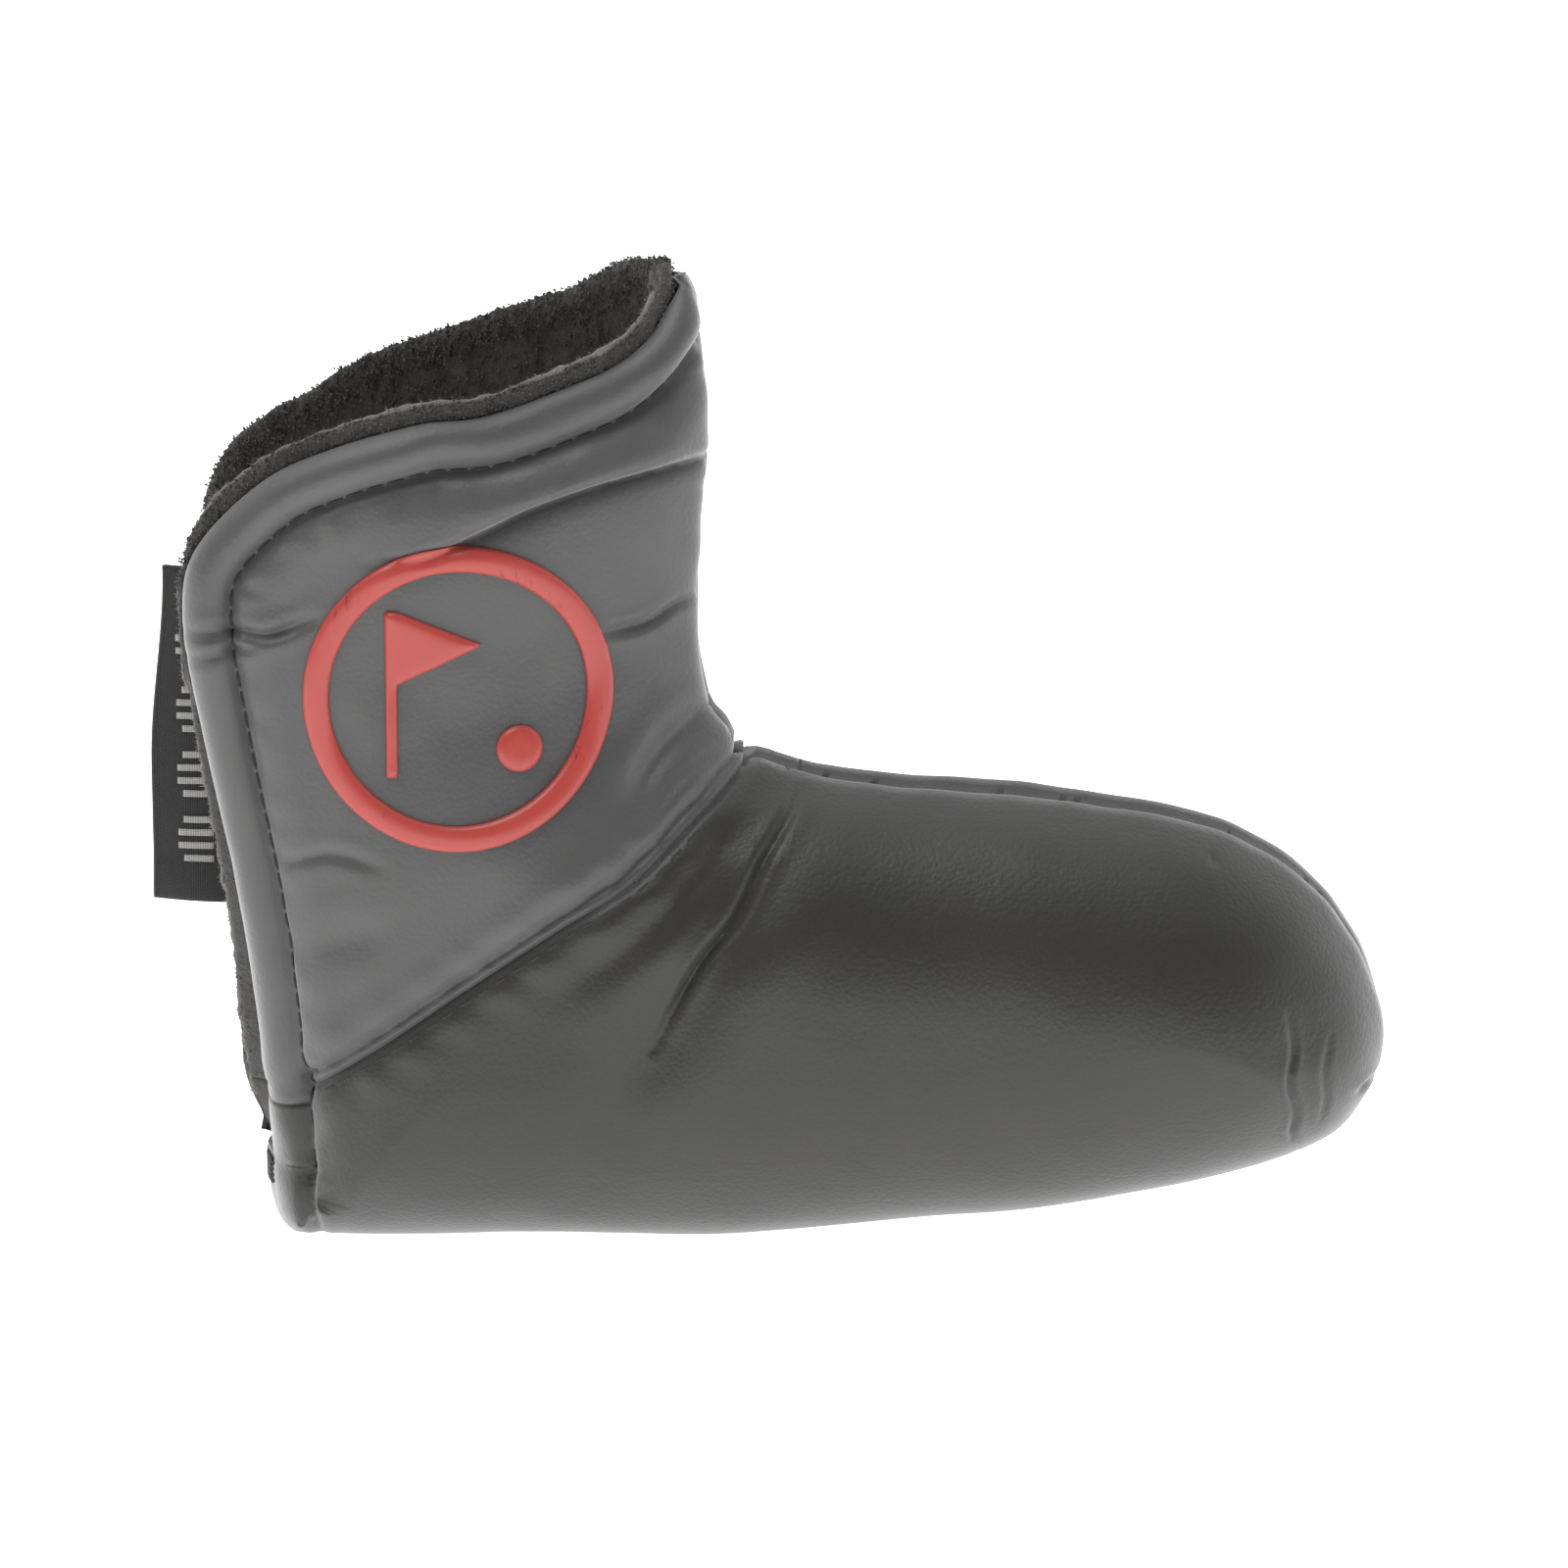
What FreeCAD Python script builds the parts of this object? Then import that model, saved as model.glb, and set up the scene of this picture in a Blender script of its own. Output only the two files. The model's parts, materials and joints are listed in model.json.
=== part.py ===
import FreeCAD, Part
import Sketcher
import math
import os

# Blade putter head cover, standing on its sole.
# +X runs from the heel slit to the toe, -Y is the decorated front, +Z is up.
# The origin is the middle of the flat patch that the sole rests on.

DRIVING_SIZES = {
    "leather": 1.2,            # thickness of the outer skin
    "padding": 3.0,            # thickness of the foam
    "plush": 2.0,              # thickness of the lining
    "heel_end": -53.0,         # X of the closed heel below the slit
    "toe_end": 107.5,          # X of the toe tip
    "toe_middle": 27.0,        # X that the toe mould shrinks towards
    "toe_level": 35.0,         # Z that the toe mould shrinks towards
    "toe_reach": 80.0,
    "toe_rise": 38.0,
    "toe_breadth": 24.5,
    "sleeve_middle": -45.0,    # X of the sleeve's widest line
    "sleeve_reach": 55.0,      # from there to the toe-side edge
    "sleeve_bottom": 10.0,
    "sleeve_top": 152.0,
    "fold_heel_x": -53.0,      # fold line: from the panel seam at the heel slit
    "fold_heel_z": 22.0,
    "fold_top_x": 9.0,         # to the top of the toe-side edge
    "fold_top_z": 139.0,
    "fold_depth": 12.0,        # distance of the fold axis from the middle plane
    "open_angle": 14.0,
    "close_angle": 16.0,
    "fold_gap": 0.3,
    "panel_gap": 0.3,
    "lip_gap": 2.6,
    "seam_heel_z": 22.0,       # panel seam: grey sleeve above, dark body below
    "seam_crotch_x": 18.0,
    "seam_crotch_z": 71.0,
    "hem_width": 7.0,
    "thread_radius": 0.3,
    "stitch_pitch": 3.2,
    "stitch_length": 2.4,
    "stitch_lift": 0.3,        # keeps a straight stitch clear of the curved skin
    "row_offset": 1.9,         # topstitch rows either side of the panel seam
    "seam_slot": 4.0,          # room for seam allowances in the foam
    "magnet_radius": 7.0,
    "magnet_thickness": 1.8,
    "magnet_x": -44.2,
    "magnet_z": 84.0,
    "emblem_x": -23.0,
    "emblem_z": 84.5,
    "emblem_radius": 21.5,
    "emblem_band": 3.6,
    "emblem_height": 0.8,
    "label_length": 49.0,
    "label_thickness": 1.0,
    "label_low_z": 46.0,
    "label_outer_x": -68.0,
    "label_back_y": 17.5,      # the label lies in the middle of the back wall
    "label_clearance": 0.7,
    "label_corner": 1.0,       # how far the outer corners are cut down
    "bar_length": 4.0,         # woven bars on both faces of the label
    "bar_width": 2.0,
    "bar_pitch": 4.6,
    "bar_relief": 0.15,
    "crown_slot_x": 12.0,      # the closing seams start at this X and Z
    "crown_slot_z": 24.0,
    "crown_stitch_x": 22.0,
    "edge_stitch_z": 78.0,
    "tack_top_z": 17.5,
    "tack_pitch": 0.8,
    "tack_length": 4.0,
}

CROWN_STITCHES = 24
EDGE_STITCHES = 17
TACK_STITCHES = 5
LABEL_BARS = 9

# Toe mould: station X, centre Z, half height, half width.
TOE_STATIONS = [
    (-53.0, 27.0, 10.0, 3.0),
    (-50.0, 29.5, 24.0, 11.0),
    (-38.0, 34.5, 36.0, 19.5),
    (-5.0, 36.0, 38.5, 24.0),
    (35.0, 33.6, 34.6, 24.5),
    (72.0, 34.0, 29.2, 21.5),
    (92.0, 34.0, 23.2, 16.5),
    (103.0, 31.5, 14.5, 9.5),
    (107.5, 29.0, 5.0, 3.0),
]

# Sleeve mould: station Z, half width.
SLEEVE_STATIONS = [
    (10.0, 6.6),
    (30.0, 13.5),
    (55.0, 19.5),
    (90.0, 21.5),
    (120.0, 21.0),
    (152.0, 19.5),
]

# Mouth outline in X and Z, from the heel's foot round the heel corner to the toe-side edge.
MOUTH_FOOT = (-49.0, -20.0)
MOUTH_HEEL = [(-53.0, 22.0), (-61.0, 92.0)]
MOUTH_CORNER = (-59.0, 109.0)
MOUTH_TOP = [(-47.0, 119.5), (-12.0, 130.5), (12.0, 145.0), (40.0, 152.0)]
FAR_X = 150.0
DEEP_Z = -20.0
BIG = 400.0

doc = FreeCAD.newDocument("putter_head_cover")
sheet = doc.addObject("Spreadsheet::Sheet", "sizes")


def set_cell(row, name, value):
    sheet.set("A%d" % row, name)
    sheet.set("B%d" % row, str(value))
    sheet.setAlias("B%d" % row, name)


def fill_sheet():
    """Every driving size gets a named cell, and every station a row of cells."""
    rows = list(DRIVING_SIZES.items())
    for number, station in enumerate(TOE_STATIONS, 1):
        for field, value in zip(("x", "z", "rise", "half"), station):
            rows.append(("toe_%s_n%d" % (field, number), value))
    for number, station in enumerate(SLEEVE_STATIONS, 1):
        for field, value in zip(("z", "half"), station):
            rows.append(("sleeve_%s_n%d" % (field, number), value))
    for number, (name, value) in enumerate(rows, 1):
        set_cell(number, name, value)
    doc.recompute()


fill_sheet()


def size(name):
    return float(sheet.get(name))


def new(kind, name, **properties):
    item = doc.addObject(kind, name)
    item.Label = name
    for key, value in properties.items():
        setattr(item, key, value)
    return item


def fuse(name, *pieces):
    return new("Part::MultiFuse", name, Shapes=list(pieces))


def common(name, *pieces):
    return new("Part::MultiCommon", name, Shapes=list(pieces))


def cut(name, base, tool):
    return new("Part::Cut", name, Base=base, Tool=tool)


# ---------------------------------------------------------------- moulds

def toe_section(name, number, inset):
    """One upright ellipse of the toe mould, shrunk by the inset towards the mould's middle."""
    ring = new("Part::Ellipse", name)
    cell = "sizes.toe_%%s_n%d" % number
    ring.setExpression("MajorRadius", "%s * (1 - (%s) / sizes.toe_rise)" % (cell % "rise", inset))
    ring.setExpression("MinorRadius", "%s * (1 - (%s) / sizes.toe_breadth)" % (cell % "half", inset))
    ring.Placement.Rotation = FreeCAD.Rotation(
        FreeCAD.Vector(0, 0, 1), FreeCAD.Vector(0, 1, 0), FreeCAD.Vector(1, 0, 0), "ZXY")
    ring.setExpression("Placement.Base.x", "sizes.toe_middle + (%s - sizes.toe_middle)"
                       " * (1 - (%s) / sizes.toe_reach)" % (cell % "x", inset))
    ring.setExpression("Placement.Base.z", "sizes.toe_level + (%s - sizes.toe_level)"
                       " * (1 - (%s) / sizes.toe_rise)" % (cell % "z", inset))
    return ring


def sleeve_section(name, number, inset):
    """One flat ellipse of the sleeve mould, the inset smaller all round."""
    ring = new("Part::Ellipse", name)
    cell = "sizes.sleeve_%%s_n%d" % number
    ring.setExpression("MajorRadius", "sizes.sleeve_reach - (%s)" % inset)
    ring.setExpression("MinorRadius", "%s - (%s)" % (cell % "half", inset))
    ring.setExpression("Placement.Base.x", "sizes.sleeve_middle")
    ring.setExpression("Placement.Base.z", cell % "z")
    return ring


def loft(name, sections):
    return new("Part::Loft", name, Sections=sections, Solid=True, Ruled=False)


def sleeve_mould(tag, inset):
    rings = [sleeve_section("sleeve_ring_%s_%d" % (tag, number), number, inset)
             for number in range(1, len(SLEEVE_STATIONS) + 1)]
    return loft("sleeve_mould_%s" % tag, rings)


def toe_mould(tag, inset):
    rings = [toe_section("toe_ring_%s_%d" % (tag, number), number, inset)
             for number in range(1, len(TOE_STATIONS) + 1)]
    return loft("toe_mould_%s" % tag, rings)


def mould(tag, inset):
    """The whole cover's outside, the inset smaller, with a flat sole at the inset's height."""
    both = fuse("both_%s" % tag, toe_mould(tag, inset), sleeve_mould(tag, inset))
    above = new("Part::Box", "above_sole_%s" % tag, Length=BIG, Width=BIG, Height=BIG)
    above.Placement.Base = FreeCAD.Vector(-BIG / 2, -BIG / 2, 0)
    above.setExpression("Placement.Base.z", inset)
    return common("mould_%s" % tag, both, above)


# ---------------------------------------------------------------- regions

def vector(x, z, y=0.0):
    return FreeCAD.Vector(x, y, z)


def mouth_block(name, step):
    """Everything inside the mouth outline, moved in from the heel and the top by the step."""
    heel = [MOUTH_FOOT] + MOUTH_HEEL
    moved_heel = [vector(x + step, z) for x, z in heel]
    corner = vector(MOUTH_CORNER[0] + 0.8 * step, MOUTH_CORNER[1] - 0.8 * step)
    moved_top = [vector(x + 0.3 * step, z - step) for x, z in MOUTH_TOP]
    edges = [Part.makeLine(a, b) for a, b in zip(moved_heel, moved_heel[1:])]
    edges.append(Part.Arc(moved_heel[-1], corner, moved_top[0]).toShape())
    rest = moved_top + [vector(FAR_X, MOUTH_TOP[-1][1] - step), vector(FAR_X, DEEP_Z), moved_heel[0]]
    edges += [Part.makeLine(a, b) for a, b in zip(rest, rest[1:])]
    face = Part.Face(Part.Wire(edges))
    face.translate(FreeCAD.Vector(0, -BIG / 2, 0))
    block = new("Part::Feature", name)
    block.Shape = face.extrude(FreeCAD.Vector(0, BIG, 0))
    return block


def side_block(name, gap_cell, side):
    """One side of the middle plane: side -1 is the front, +1 the back."""
    block = new("Part::Box", name, Length=BIG, Width=BIG, Height=BIG)
    block.Placement.Base = FreeCAD.Vector(-BIG / 2, 0, -BIG / 2)
    if side < 0:
        block.setExpression("Placement.Base.y", "0 - %g - sizes.%s / 2" % (BIG, gap_cell))
    else:
        block.setExpression("Placement.Base.y", "sizes.%s / 2" % gap_cell)
    return block


def tilt_of(x0, z0, x1, z1):
    """Turn about Y that lays local +Z along the line from the first point to the second."""
    return math.degrees(math.atan2(x1 - x0, z1 - z0))


def seam_block(name, below):
    """Everything below (or above) the diagonal panel seam."""
    tilt = tilt_of(size("fold_heel_x"), size("seam_heel_z"), size("seam_crotch_x"), size("seam_crotch_z"))
    block = new("Part::Box", name, Length=BIG, Width=BIG, Height=BIG)
    turn = FreeCAD.Rotation(FreeCAD.Vector(0, 1, 0), tilt)
    half_gap = size("panel_gap") / 2
    start = half_gap if below else -BIG - half_gap
    corner = turn.multVec(FreeCAD.Vector(start, -BIG / 2, -BIG / 2))
    anchor = vector(size("fold_heel_x"), size("seam_heel_z"))
    block.Placement = FreeCAD.Placement(anchor + corner, turn)
    return block


FOLD_TILT = tilt_of(size("fold_heel_x"), size("fold_heel_z"), size("fold_top_x"), size("fold_top_z"))
FOLD_TURN = FreeCAD.Rotation(FreeCAD.Vector(0, 1, 0), FOLD_TILT)
FOLD_ANCHOR = vector(size("fold_heel_x"), size("fold_heel_z"))


def prism_along_fold(name, outline):
    """A prism whose section is given across the fold line: distance towards the toe, and Y."""
    points = [FreeCAD.Vector(x, y, -BIG / 2) for x, y in outline]
    face = Part.Face(Part.makePolygon(points + points[:1]))
    block = new("Part::Feature", name)
    block.Shape = face.extrude(FreeCAD.Vector(0, 0, BIG))
    block.Placement = FreeCAD.Placement(FOLD_ANCHOR, FOLD_TURN)
    return block


def fixed_block():
    """The toe side of the fold."""
    gap = size("fold_gap") / 2
    return prism_along_fold("fixed_side", [(gap, -BIG), (BIG, -BIG), (BIG, BIG), (gap, BIG)])


def lip_block(name, side):
    """The heel side of the fold, cut back either side of the axis by what each swing needs."""
    gap = size("fold_gap") / 2
    axis = size("fold_depth")
    outer = 60.0
    open_step = (outer - axis) * math.tan(math.radians(size("open_angle")))
    close_step = axis * math.tan(math.radians(size("close_angle")))
    y_gap = size("lip_gap") / 2
    outline = [(-gap, side * axis), (-gap - open_step, side * outer), (-BIG, side * outer),
               (-BIG, side * y_gap), (-gap - close_step, side * y_gap)]
    return prism_along_fold(name, outline)


# ---------------------------------------------------------------- threads and small parts

def surface_y(shape, x, z, side):
    """Y of the shape's outside on the line through (x, z), on the given side."""
    line = Part.makeLine(FreeCAD.Vector(x, 0, z), FreeCAD.Vector(x, side * 80, z))
    hits = [vertex.Y for vertex in shape.common(line).Vertexes]
    if not hits:
        return 0.0
    return max(hits) if side > 0 else min(hits)


def points_between(start, end, pitch):
    count = max(1, int(math.dist(start, end) / pitch))
    return [(start[0] + (end[0] - start[0]) * i / count, start[1] + (end[1] - start[1]) * i / count)
            for i in range(count + 1)]


def rod(start, end, radius):
    return Part.makeCylinder(radius, (end - start).Length, start, end - start)


def stitch_row(name, route, side, outer_shape):
    """A row of short stitches lying on the leather along a route of X and Z points."""
    radius = size("thread_radius")
    share = size("stitch_length") / size("stitch_pitch")
    places = []
    for start, end in zip(route, route[1:]):
        places += points_between(start, end, size("stitch_pitch"))[:-1]
    places.append(route[-1])
    lift = side * (radius + size("stitch_lift"))
    spots = [FreeCAD.Vector(x, surface_y(outer_shape, x, z, side) + lift, z) for x, z in places]
    rods = [rod(a, a + (b - a) * share, radius) for a, b in zip(spots, spots[1:])]
    row = new("Part::Feature", name)
    row.Shape = Part.makeCompound(rods)
    return row


def cross_stitches(name, places, length):
    """Stitches across the middle plane, one at each (x, z)."""
    radius = size("thread_radius")
    rods = [rod(FreeCAD.Vector(x, -length / 2, z), FreeCAD.Vector(x, length / 2, z), radius)
            for x, z in places]
    row = new("Part::Feature", name)
    row.Shape = Part.makeCompound(rods)
    return row


def magnet(name, side, lining_y):
    """A thin disc set in the foam behind the hem, and the pocket that it sits in."""
    disc = new("Part::Cylinder", name)
    pocket = new("Part::Cylinder", name + "_pocket")
    disc.setExpression("Radius", "sizes.magnet_radius")
    disc.setExpression("Height", "sizes.magnet_thickness")
    pocket.setExpression("Radius", "sizes.magnet_radius + 0.2")
    pocket.setExpression("Height", "sizes.magnet_thickness + 3")
    turn = FreeCAD.Rotation(FreeCAD.Vector(1, 0, 0), -90 * side)
    spot = vector(size("magnet_x"), size("magnet_z"), lining_y + side * 0.7)
    disc.Placement = FreeCAD.Placement(spot, turn)
    pocket.Placement = FreeCAD.Placement(spot - FreeCAD.Vector(0, side * 1.5, 0), turn)
    return disc, pocket


def ring_face(centre, outer, inner):
    normal = FreeCAD.Vector(0, 1, 0)
    outside = Part.Face(Part.Wire(Part.makeCircle(outer, centre, normal)))
    inside = Part.Face(Part.Wire(Part.makeCircle(inner, centre, normal)))
    return outside.cut(inside)


def emblem_cutter(name, face):
    block = new("Part::Feature", name)
    block.Shape = face.extrude(FreeCAD.Vector(0, -80, 0))
    return block


def polygon_face(points):
    corners = [vector(x, z) for x, z in points]
    return Part.Face(Part.makePolygon(corners + corners[:1]))


# ---------------------------------------------------------------- build

def insets():
    leather = "sizes.leather"
    foam = leather + " + sizes.padding"
    lining = foam + " + sizes.plush"
    return leather, foam, lining


def build_layers():
    """Skin, foam and lining as shells between nested moulds, open at the mouth and heel slit."""
    leather, foam, lining = insets()
    outside = mould("outside", "0")
    under_skin = mould("under_skin", leather)
    under_foam = mould("under_foam", foam)
    hollow = mould("hollow", lining)
    throat = sleeve_mould("throat", lining)
    layers = {}
    for name, outer, inner in (("skin", outside, under_skin), ("foam", under_skin, under_foam),
                               ("lining", under_foam, hollow)):
        shell = cut(name + "_closed", outer, inner)
        layers[name] = cut(name + "_open", shell, throat)
    layers["outside"] = outside
    return layers


def slot_block(name, width_cell):
    """A thin upright slab on the middle plane, along the crown and the toe-side edge."""
    slab = new("Part::Box", name, Length=BIG, Height=BIG)
    slab.setExpression("Width", "sizes." + width_cell)
    slab.setExpression("Placement.Base.x", "sizes.crown_slot_x")
    slab.setExpression("Placement.Base.y", "0 - sizes.%s / 2" % width_cell)
    slab.setExpression("Placement.Base.z", "sizes.crown_slot_z")
    return slab


def build_body(layers, blocks):
    """The dark lower body, folded under the sole and closed along the crown."""
    skin = common("body_skin_raw", layers["skin"], blocks["mouth"], blocks["below"])
    foam = common("body_foam_raw", layers["foam"], blocks["mouth_foam"], blocks["below"])
    narrow = slot_block("crown_slot", "panel_gap")
    wide = slot_block("crown_allowance", "seam_slot")
    body = [cut("body_leather", skin, narrow), cut("body_foam", foam, wide)]
    body.append(common("body_lining", layers["lining"], blocks["mouth_lining"], blocks["below"]))
    return body


def build_side(word, side, layers, blocks, pocket):
    """The grey sleeve of one side: the part that stays put, and the lip that folds."""
    half = side_block(word + "_half", "panel_gap", side)
    foam_half = side_block(word + "_foam_half", "seam_slot", side)
    lip = lip_block(word + "_lip_side", side)
    names = []
    for layer, own_half, end in (("skin", half, "panel"), ("foam", foam_half, "foam"),
                                 ("lining", half, "lining")):
        limit = blocks["mouth"] if layer == "skin" else blocks["mouth_" + layer]
        piece = common("%s_sleeve_%s" % (word, end), layers[layer], limit, blocks["above"],
                       own_half, blocks["fixed"])
        names.append(piece)
    lip_skin = common(word + "_lip_skin", layers["skin"], blocks["mouth"], blocks["above"], lip)
    hem_core = common(word + "_hem_core", layers["foam"], blocks["hem"], blocks["above"], lip)
    names.append(fuse(word + "_lip_panel", lip_skin, hem_core))
    foam = common(word + "_lip_foam_raw", layers["foam"], blocks["mouth_foam"], blocks["above"], lip)
    names.append(cut(word + "_lip_foam", foam, pocket))
    names.append(common(word + "_lip_lining", layers["lining"], blocks["mouth_lining"],
                        blocks["above"], lip))
    return names


def hem_route():
    """The hem's stitch line, just inside the mouth outline."""
    step = size("hem_width") - 0.6
    corner = (MOUTH_CORNER[0] + 0.8 * step, MOUTH_CORNER[1] - 0.8 * step)
    heel = [(x + step, z) for x, z in MOUTH_HEEL]
    low = (heel[0][0] - 0.5, heel[0][1] + 17.0)
    top = [(x + 0.3 * step, z - step) for x, z in MOUTH_TOP[:2]]
    return [low, heel[1], corner] + top


def seam_route(offset):
    """A topstitch row beside the panel seam, the offset above it."""
    start = (size("fold_heel_x") + 2.5, size("seam_heel_z") + 1.8)
    end = (size("seam_crotch_x") - 9.5, size("seam_crotch_z") - 6.6)
    length = math.dist(start, end)
    across = (-(end[1] - start[1]) / length, (end[0] - start[0]) / length)
    shift = [offset * part for part in across]
    inner_start = (start[0] + max(0.0, offset) * 3.2, start[1] + max(0.0, offset) * 2.2)
    return [(inner_start[0] + shift[0], inner_start[1] + shift[1]), (end[0] + shift[0], end[1] + shift[1])]


def build_threads(outer_shape):
    rows = []
    for word, side in (("front", -1), ("back", 1)):
        rows.append(stitch_row(word + "_hem_thread", hem_route(), side, outer_shape))
        offset = size("row_offset")
        rows.append(stitch_row(word + "_seam_thread_upper", seam_route(offset), side, outer_shape))
        rows.append(stitch_row(word + "_seam_thread_lower", seam_route(-offset), side, outer_shape))
    return rows


def top_of(shape, x):
    line = Part.makeLine(FreeCAD.Vector(x, 0, 30), FreeCAD.Vector(x, 0, 140))
    return max(vertex.Z for vertex in shape.common(line).Vertexes)


def build_closing_seams(outer_shape):
    """The hidden stitches that close the crown and the sleeve's toe-side edge."""
    depth = size("leather") + size("thread_radius") + 0.6
    pitch = size("stitch_pitch")
    crown = []
    for step in range(CROWN_STITCHES):
        x = size("crown_stitch_x") + step * pitch
        crown.append((x, top_of(outer_shape, x) - depth))
    edge_x = size("sleeve_middle") + size("sleeve_reach") - depth
    edge = [(edge_x, size("edge_stitch_z") + step * pitch) for step in range(EDGE_STITCHES)]
    length = size("seam_slot") - 0.8
    return [cross_stitches("crown_seam_thread", crown, length),
            cross_stitches("toe_side_seam_thread", edge, length)]


def build_bartack(outer_shape):
    """Five short stitches laid side by side across the foot of the heel slit."""
    radius = size("thread_radius")
    places = []
    for step in range(TACK_STITCHES):
        z = size("tack_top_z") - size("tack_pitch") * step
        line = Part.makeLine(FreeCAD.Vector(-90, 0, z), FreeCAD.Vector(0, 0, z))
        x = min(vertex.X for vertex in outer_shape.common(line).Vertexes)
        places.append((max(x, MOUTH_HEEL[0][0]) - radius - 0.1, z))
    return cross_stitches("slit_bartack", places, size("tack_length"))


def build_emblem(blocks):
    """A plain golf flag in a ring, raised from the front of the sleeve and split at the fold."""
    x = size("emblem_x")
    z = size("emblem_z")
    outer = size("emblem_radius")
    band = size("emblem_band")
    low = sleeve_mould("emblem_back", "-0.15")
    high = sleeve_mould("emblem_face", "-0.15 - sizes.emblem_height")
    skin = cut("emblem_skin", high, low)
    ring = emblem_cutter("emblem_ring_cutter", ring_face(vector(x, z), outer, outer - band))
    flag_outline = [(x - 10.0, z - 11.0), (x - 8.0, z - 11.0), (x - 8.0, z + 3.5), (x + 3.5, z + 8.0),
                    (x - 8.0, z + 12.5), (x - 10.0, z + 12.5)]
    flag = emblem_cutter("emblem_flag_cutter", polygon_face(flag_outline))
    ball = emblem_cutter("emblem_ball_cutter",
                         Part.Face(Part.Wire(Part.makeCircle(3.2, vector(x + 8.5, z - 7.5),
                                                             FreeCAD.Vector(0, 1, 0)))))
    lip = doc.getObject("front_lip_side")
    return [common("emblem_ring_lip", skin, ring, lip),
            common("emblem_ring_body", skin, ring, blocks["fixed"]),
            common("emblem_flag", skin, flag, lip),
            common("emblem_ball", skin, ball, blocks["fixed"])]


def heel_x(z):
    """X of the mouth outline on the heel side at the height z."""
    (x0, z0), (x1, z1) = MOUTH_HEEL
    return x0 + (x1 - x0) * (z - z0) / (z1 - z0)


def label_sketch(body):
    """The label's face: its inner edge follows the slanted lip, its outer edge is upright."""
    plane = next(item for item in body.Origin.OriginFeatures if item.Role == "XZ_Plane")
    sketch = body.newObject("Sketcher::SketchObject", "label_face")
    sketch.AttachmentSupport = [(plane, "")]
    sketch.MapMode = "FlatFace"
    low = size("label_low_z")
    length = size("label_length")
    edge = size("label_outer_x") + size("label_clearance")
    corners = [(0.0, size("label_corner")), (heel_x(low) - edge, 0.0),
               (heel_x(low + length) - edge, length), (0.0, length - size("label_corner"))]
    for number, (x, y) in enumerate(corners):
        nx, ny = corners[(number + 1) % len(corners)]
        sketch.addGeometry(Part.LineSegment(FreeCAD.Vector(x, y, 0), FreeCAD.Vector(nx, ny, 0)), False)
    for number, (x, y) in enumerate(corners):
        sketch.addConstraint(Sketcher.Constraint("Coincident", number, 2, (number + 1) % len(corners), 1))
        sketch.addConstraint(Sketcher.Constraint("DistanceX", -1, 1, number, 1, x))
        sketch.addConstraint(Sketcher.Constraint("DistanceY", -1, 1, number, 1, y))
    return sketch


def build_label():
    """A folded woven tape that stands out of the back lip's heel edge, with its woven bars."""
    thick = size("label_thickness")
    relief = size("bar_relief")
    place = vector(size("label_outer_x"), size("label_low_z"), size("label_back_y"))
    tape = doc.addObject("PartDesign::Body", "side_label")
    tape.Label = "side_label"
    pad = tape.newObject("PartDesign::Pad", "label_pad")
    pad.Profile = label_sketch(tape)
    pad.setExpression("Length", "sizes.label_thickness")
    pad.SideType = "Symmetric"
    tape.Tip = pad
    tape.Placement.Base = place
    bars = []
    for step in range(LABEL_BARS):
        for y in (-thick / 2 - relief - 0.05, thick / 2 + 0.05):
            corner = FreeCAD.Vector(1.2, y, 4.6 + step * size("bar_pitch"))
            bars.append(Part.makeBox(size("bar_length"), relief, size("bar_width"), corner))
    weave = new("Part::Feature", "label_weave")
    weave.Shape = Part.makeCompound(bars)
    weave.Placement.Base = place
    return [tape, weave]


def build():
    layers = build_layers()
    blocks = {
        "mouth": mouth_block("mouth_block", 0.0),
        "mouth_foam": mouth_block("mouth_block_foam", size("hem_width")),
        "mouth_lining": mouth_block("mouth_block_lining", 3.0),
        "below": seam_block("below_seam", True),
        "above": seam_block("above_seam", False),
        "fixed": fixed_block(),
    }
    blocks["hem"] = cut("hem_band", blocks["mouth"], blocks["mouth_foam"])
    doc.recompute()
    outer_shape = layers["outside"].Shape
    nodes = build_body(layers, blocks)
    hollow_shape = doc.getObject("mould_under_foam").Shape
    for word, side in (("front", -1), ("back", 1)):
        lining_y = surface_y(hollow_shape, size("magnet_x"), size("magnet_z"), side)
        disc, pocket = magnet(word + "_closure_magnet", side, lining_y)
        nodes += build_side(word, side, layers, blocks, pocket)
        nodes.append(disc)
    nodes += build_threads(outer_shape)
    nodes += build_closing_seams(outer_shape)
    nodes.append(build_bartack(outer_shape))
    nodes += build_emblem(blocks)
    nodes += build_label()
    doc.recompute()
    return nodes


def check(nodes):
    for item in doc.Objects:
        bad = [word for word in item.State if word in ("Invalid", "Error")]
        if bad:
            raise RuntimeError("%s is %s" % (item.Label, bad))
    for node in nodes:
        shape = node.Shape
        if shape.isNull() or not shape.isValid():
            raise RuntimeError("%s has no valid shape" % node.Label)
        if not shape.Solids:
            raise RuntimeError("%s has no solid" % node.Label)
        print("%-26s solids %3d  volume %9.1f" % (node.Label, len(shape.Solids), shape.Volume))


def export(nodes):
    os.makedirs("parts", exist_ok=True)
    for node in nodes:
        node.Shape.exportStep("parts/%s.step" % node.Label)


all_nodes = build()
check(all_nodes)
export(all_nodes)
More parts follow.
